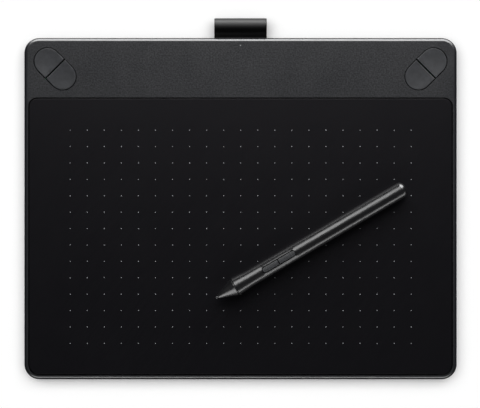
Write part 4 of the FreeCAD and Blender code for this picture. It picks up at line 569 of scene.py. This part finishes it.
def screwSet():
    mesh, axes = firstScrew()
    screw = easedShape(mesh, "case_screw", caseScrews["edge"], easing["corner"])
    points = bpy.data.meshes.new("screw_axes")
    points.from_pydata(axes, [], [])
    values = {"Turn": math.radians(caseScrews["mostTurn"]), "Seed": caseScrews["stopSeed"]}
    piece = runTree(*screwTree(screw, values), values, "case_screw_set", points)
    bpy.data.objects.remove(screw)
    settle(piece, "case_screws")


screwSet()
print("case screws set")


# Pen loop: a tape folded to a drop, its two plies entering the slot in the back wall
# level is the fold's height over the floor; selvedge lists how far in from its edge the tape has a row of corners

tape = {"width": 33.3, "thick": 0.9, "bend": 5.3, "level": 6.4, "throat": 1.0, "beforeThroat": 0.4, "plyGap": 0.1,
        "inSlot": 1.2, "softness": 0.35, "stepMm": 0.35, "acrossSteps": 24, "edgeThick": 0.35,
        "selvedge": [0.0, 0.05, 0.18, 0.45, 0.9], "crisp": 60}


def tapeLine():  # middle line of the tape in y and z, from the upper ply round to the lower one
    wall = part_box("top_cover")[1].y / mm
    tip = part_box("pen_loop")[1].y / mm
    centre = tip - tape["bend"]
    radius = tape["bend"] - tape["thick"] / 2
    ply = tape["plyGap"] / 2 + tape["thick"] / 2
    throat = wall + tape["throat"]
    reach = math.hypot(centre - throat, ply)
    touch = math.atan2(-ply, centre - throat) + math.asin(radius / reach)
    run = math.sqrt(reach ** 2 - radius ** 2)
    start = (throat + run * math.cos(touch), ply + run * math.sin(touch))
    first = math.atan2(start[1], start[0] - centre)
    half = [(wall - tape["inSlot"], ply), (throat - tape["beforeThroat"], ply)]
    straight = int(run / tape["stepMm"])
    for i in range(straight):  # the ply leaves the slot in a soft S rather than a kink
        t = i / straight
        soft = t * t * (3 - 2 * t) * tape["softness"] + t * (1 - tape["softness"])
        half.append((throat + (start[0] - throat) * t, ply + (start[1] - ply) * soft))
    turns = int(first * radius / tape["stepMm"])
    for i in range(turns):
        turn = first * (1 - i / turns)
        half.append((centre + radius * math.cos(turn), radius * math.sin(turn)))
    return half + [(centre + radius, 0.0)] + [(y, -z) for y, z in reversed(half)]


def tapeStations():  # rows of corners across the tape, close together where a selvedge rounds
    ends, width, steps = tape["selvedge"], tape["width"], tape["acrossSteps"]
    return ends + [width * i / steps for i in range(1, steps)] + [width - end for end in reversed(ends)]


def tapeThickness(x):
    edge = min(x, tape["width"] - x)
    rounding = min(edge / tape["selvedge"][-1], 1.0)
    return tape["thick"] * (tape["edgeThick"] + (1 - tape["edgeThick"]) * math.sqrt(1 - (1 - rounding) ** 2))


def tapeOutward(line, i):  # unit direction at right angles to the line
    a, b = line[max(i - 1, 0)], line[min(i + 1, len(line) - 1)]
    run = Vector((b[0] - a[0], b[1] - a[1])).normalized()
    return Vector((-run.y, run.x))


def penLoop():
    line, stations = tapeLine(), tapeStations()
    lengths = [0.0]
    for a, b in zip(line, line[1:]):
        lengths.append(lengths[-1] + math.dist(a, b))
    shape = bmesh.new()
    layer = shape.loops.layers.uv.new("along")
    rings = {}
    for side in (1, -1):
        for i, (y, z) in enumerate(line):
            outward = tapeOutward(line, i)
            for k, x in enumerate(stations):
                off = outward * side * tapeThickness(x) / 2
                place = Vector((x - tape["width"] / 2, y + off.x, z + off.y + tape["level"])) * mm
                rings[side, i, k] = shape.verts.new(place)

    def quad(keys, flip):
        used = keys[::-1] if flip else keys
        face = shape.faces.new([rings[key] for key in used])
        for loop, (_, i, k) in zip(face.loops, used):
            loop[layer].uv = (stations[k], lengths[i])

    lastRow, lastRing = len(stations) - 1, len(line) - 1
    for i in range(lastRing):
        for k in range(lastRow):
            for side in (1, -1):
                quad([(side, i, k), (side, i + 1, k), (side, i + 1, k + 1), (side, i, k + 1)], side == 1)
        for k, flip in ((0, True), (lastRow, False)):
            quad([(1, i, k), (-1, i, k), (-1, i + 1, k), (1, i + 1, k)], flip)
    for i, flip in ((0, False), (lastRing, True)):
        for k in range(lastRow):
            quad([(1, i, k), (-1, i, k), (-1, i, k + 1), (1, i, k + 1)], flip)
    bmesh.ops.recalc_face_normals(shape, faces=shape.faces)
    mesh = bpy.data.meshes.new("pen_loop_tape")
    shape.to_mesh(mesh)
    shape.free()
    mesh.materials.append(finishes["polyesterSatinTape"])
    splitShading(mesh, tape["crisp"])
    piece = bpy.data.objects.new("pen_loop_tape", mesh)
    bpy.context.scene.collection.objects.link(piece)
    settle(piece, "pen_loop")
    return piece


loopTape = penLoop()
print("pen loop folded")


# Floor: matte white paper

floorLook = {"half": 4.0, "paper": "fafafa", "rough": 0.9, "specular": 0.1}


def whiteFloor():
    mesh = bpy.data.meshes.new("floor")
    half = floorLook["half"]
    mesh.from_pydata([(-half, -half, 0), (half, -half, 0), (half, half, 0), (-half, half, 0)], [], [(0, 1, 2, 3)])
    floor = bpy.data.objects.new("floor", mesh)
    bpy.context.scene.collection.objects.link(floor)
    material = newMaterial("whitePaper", **{"Base Color": linearColor(floorLook["paper"]),
                                            "Roughness": floorLook["rough"],
                                            "Specular IOR Level": floorLook["specular"]})[0]
    mesh.materials.append(material)
    floor.visible_glossy = False  # hidden from glossy rays, so the tablet's edges don't mirror the white paper, as black flags round a set would keep it out
    return floor


# Lights: azimuth from straight behind, clockwise seen from above, and elevation, both in degrees. glow is the
# panel's radiance, where lit white paper is 1. Each panel is flagged to light only what its last entry names
softboxes = {
    "main": {"azimuth": -4, "elevation": 61, "far": 1.3, "wide": 0.7, "tall": 0.5, "glow": 2.6,
             "lit": ("tablet", "loop")},
    "behind_mid": {"azimuth": 4, "elevation": 40, "far": 1.2, "wide": 1.6, "tall": 0.6, "glow": 9.0,
                   "lit": ("tablet",)},
    "behind_low": {"azimuth": 4, "elevation": 14, "far": 1.2, "wide": 2.4, "tall": 0.4, "glow": 10.0,
                   "lit": ("tablet", "loop")},
    "front_edge": {"azimuth": 180, "elevation": 30, "far": 1.2, "wide": 1.6, "tall": 0.24, "glow": 8.0,
                   "lit": ("tablet",)},
    "fills_left": {"azimuth": -95, "elevation": 35, "far": 1.3, "wide": 0.9, "tall": 0.5, "glow": 0.1,
                   "lit": ("tablet", "loop")},
    "fills_right": {"azimuth": 95, "elevation": 35, "far": 1.3, "wide": 0.9, "tall": 0.5, "glow": 0.1,
                    "lit": ("tablet", "loop")},
    "loop_top": {"azimuth": 0, "elevation": 32, "far": 1.0, "wide": 1.2, "tall": 0.4, "glow": 4.0,
                 "lit": ("loop",)},
    "pen_upper": {"azimuth": -30.2, "elevation": 52, "far": 1.0, "wide": 0.6, "tall": 0.7, "glow": 6.9,
                  "lit": ("pen",)},
    "pen_lower": {"azimuth": 150, "elevation": 11, "far": 1.2, "wide": 2.4, "tall": 0.4, "glow": 4.4,
                  "lit": ("pen",)},
    "pen_nose": {"azimuth": 202, "elevation": 30, "far": 1.2, "wide": 0.8, "tall": 0.7, "glow": 6.0,
                 "lit": ("pen",)},
    "pen_tail": {"azimuth": 22, "elevation": 12, "far": 1.0, "wide": 0.76, "tall": 1.1, "glow": 14.5,
                 "lit": ("pen",)},
    "paper_key": {"azimuth": -8, "elevation": 74, "far": 4.5, "wide": 7.2, "tall": 4.5, "glow": 2.26,
                  "lit": ("paper",)},
    "paper_dome": {"azimuth": 0, "elevation": 90, "far": 3.9, "wide": 12.0, "tall": 12.0, "glow": 0.46,
                   "lit": ("paper",)},
}
# a strip of lit paper behind the tablet, from lowY to highY, which the back edge and the loop mirror
bounceCard = {"lowY": 0.125, "highY": 0.34, "wide": 0.34, "glow": 1.3, "litAs": "behind_low"}


def lightPanel(name, wide, tall, glow, place, turn):
    light = bpy.data.lights.new(name, "AREA")
    light.shape = "RECTANGLE"
    light.size, light.size_y = wide, tall
    light.energy = math.pi * glow * wide * tall
    holder = bpy.data.objects.new(name, light)
    holder.location = place
    holder.rotation_euler = turn
    bpy.context.scene.collection.objects.link(holder)
    return holder


def softbox(name, azimuth, elevation, far, wide, tall, glow, lit):
    turn, rise = math.radians(azimuth), math.radians(elevation)
    place = Vector((math.sin(turn) * math.cos(rise), math.cos(turn) * math.cos(rise), math.sin(rise))) * far
    holder = lightPanel(name, wide, tall, glow, place, (-place).to_track_quat("-Z", "Y").to_euler())
    reach = bpy.data.collections.new(name + "_reach")
    for shown in lit:
        reach.objects.link(shown)
    holder.light_linking.receiver_collection = reach


def paperBounce():
    lowY, highY = bounceCard["lowY"], bounceCard["highY"]
    holder = lightPanel("bounce_card", bounceCard["wide"], highY - lowY, bounceCard["glow"],
                        (0, (lowY + highY) / 2, mm), (math.pi, 0, 0))
    holder.visible_camera = False
    holder.light_linking.receiver_collection = bpy.data.collections[bounceCard["litAs"] + "_reach"]


def lightStudio():
    groups = {"paper": [whiteFloor()], "loop": [loopTape], "pen": [], "tablet": []}
    for body, objects in ridden.items():
        groups["pen" if body.startswith("pen") else "tablet"] += [o for o in objects if o is not loopTape]
    for name, box in softboxes.items():
        softbox(name, **{**box, "lit": [shown for group in box["lit"] for shown in groups[group]]})
    paperBounce()


# World: pale to the camera, dim to the light on the object

surround = {"pale": 0.98, "dim": 0.015}


def paleSurround():
    world = bpy.data.worlds.new("surround")
    bpy.context.scene.world = world
    world.use_nodes = True
    tree = world.node_tree
    tree.nodes.clear()
    path = addNode(tree, "ShaderNodeLightPath")
    dim, pale = (addNode(tree, "ShaderNodeBackground", {"Color": (1, 1, 1, 1), "Strength": surround[key]})
                 for key in ("dim", "pale"))
    mix = addNode(tree, "ShaderNodeMixShader", {0: path.outputs["Is Camera Ray"], 1: dim.outputs[0],
                                                2: pale.outputs[0]})
    addNode(tree, "ShaderNodeOutputWorld", {"Surface": mix.outputs[0]})


def overheadCamera():  # straight down, framed as the photograph
    camera = bpy.data.cameras.new("overhead")
    camera.lens = photo["lens"]
    camera.sensor_width = photo["sensor"]
    holder = bpy.data.objects.new("overhead", camera)
    x, y = photoSpot(photo["width"] / 2, photo["height"] / 2)
    holder.location = (x * mm, y * mm, (lensMm + photo["outlineMm"]) * mm)
    bpy.context.scene.collection.objects.link(holder)
    bpy.context.scene.camera = holder


lightStudio()
paleSurround()
overheadCamera()
bpy.context.scene.view_settings.view_transform = "Standard"
print("stage set")
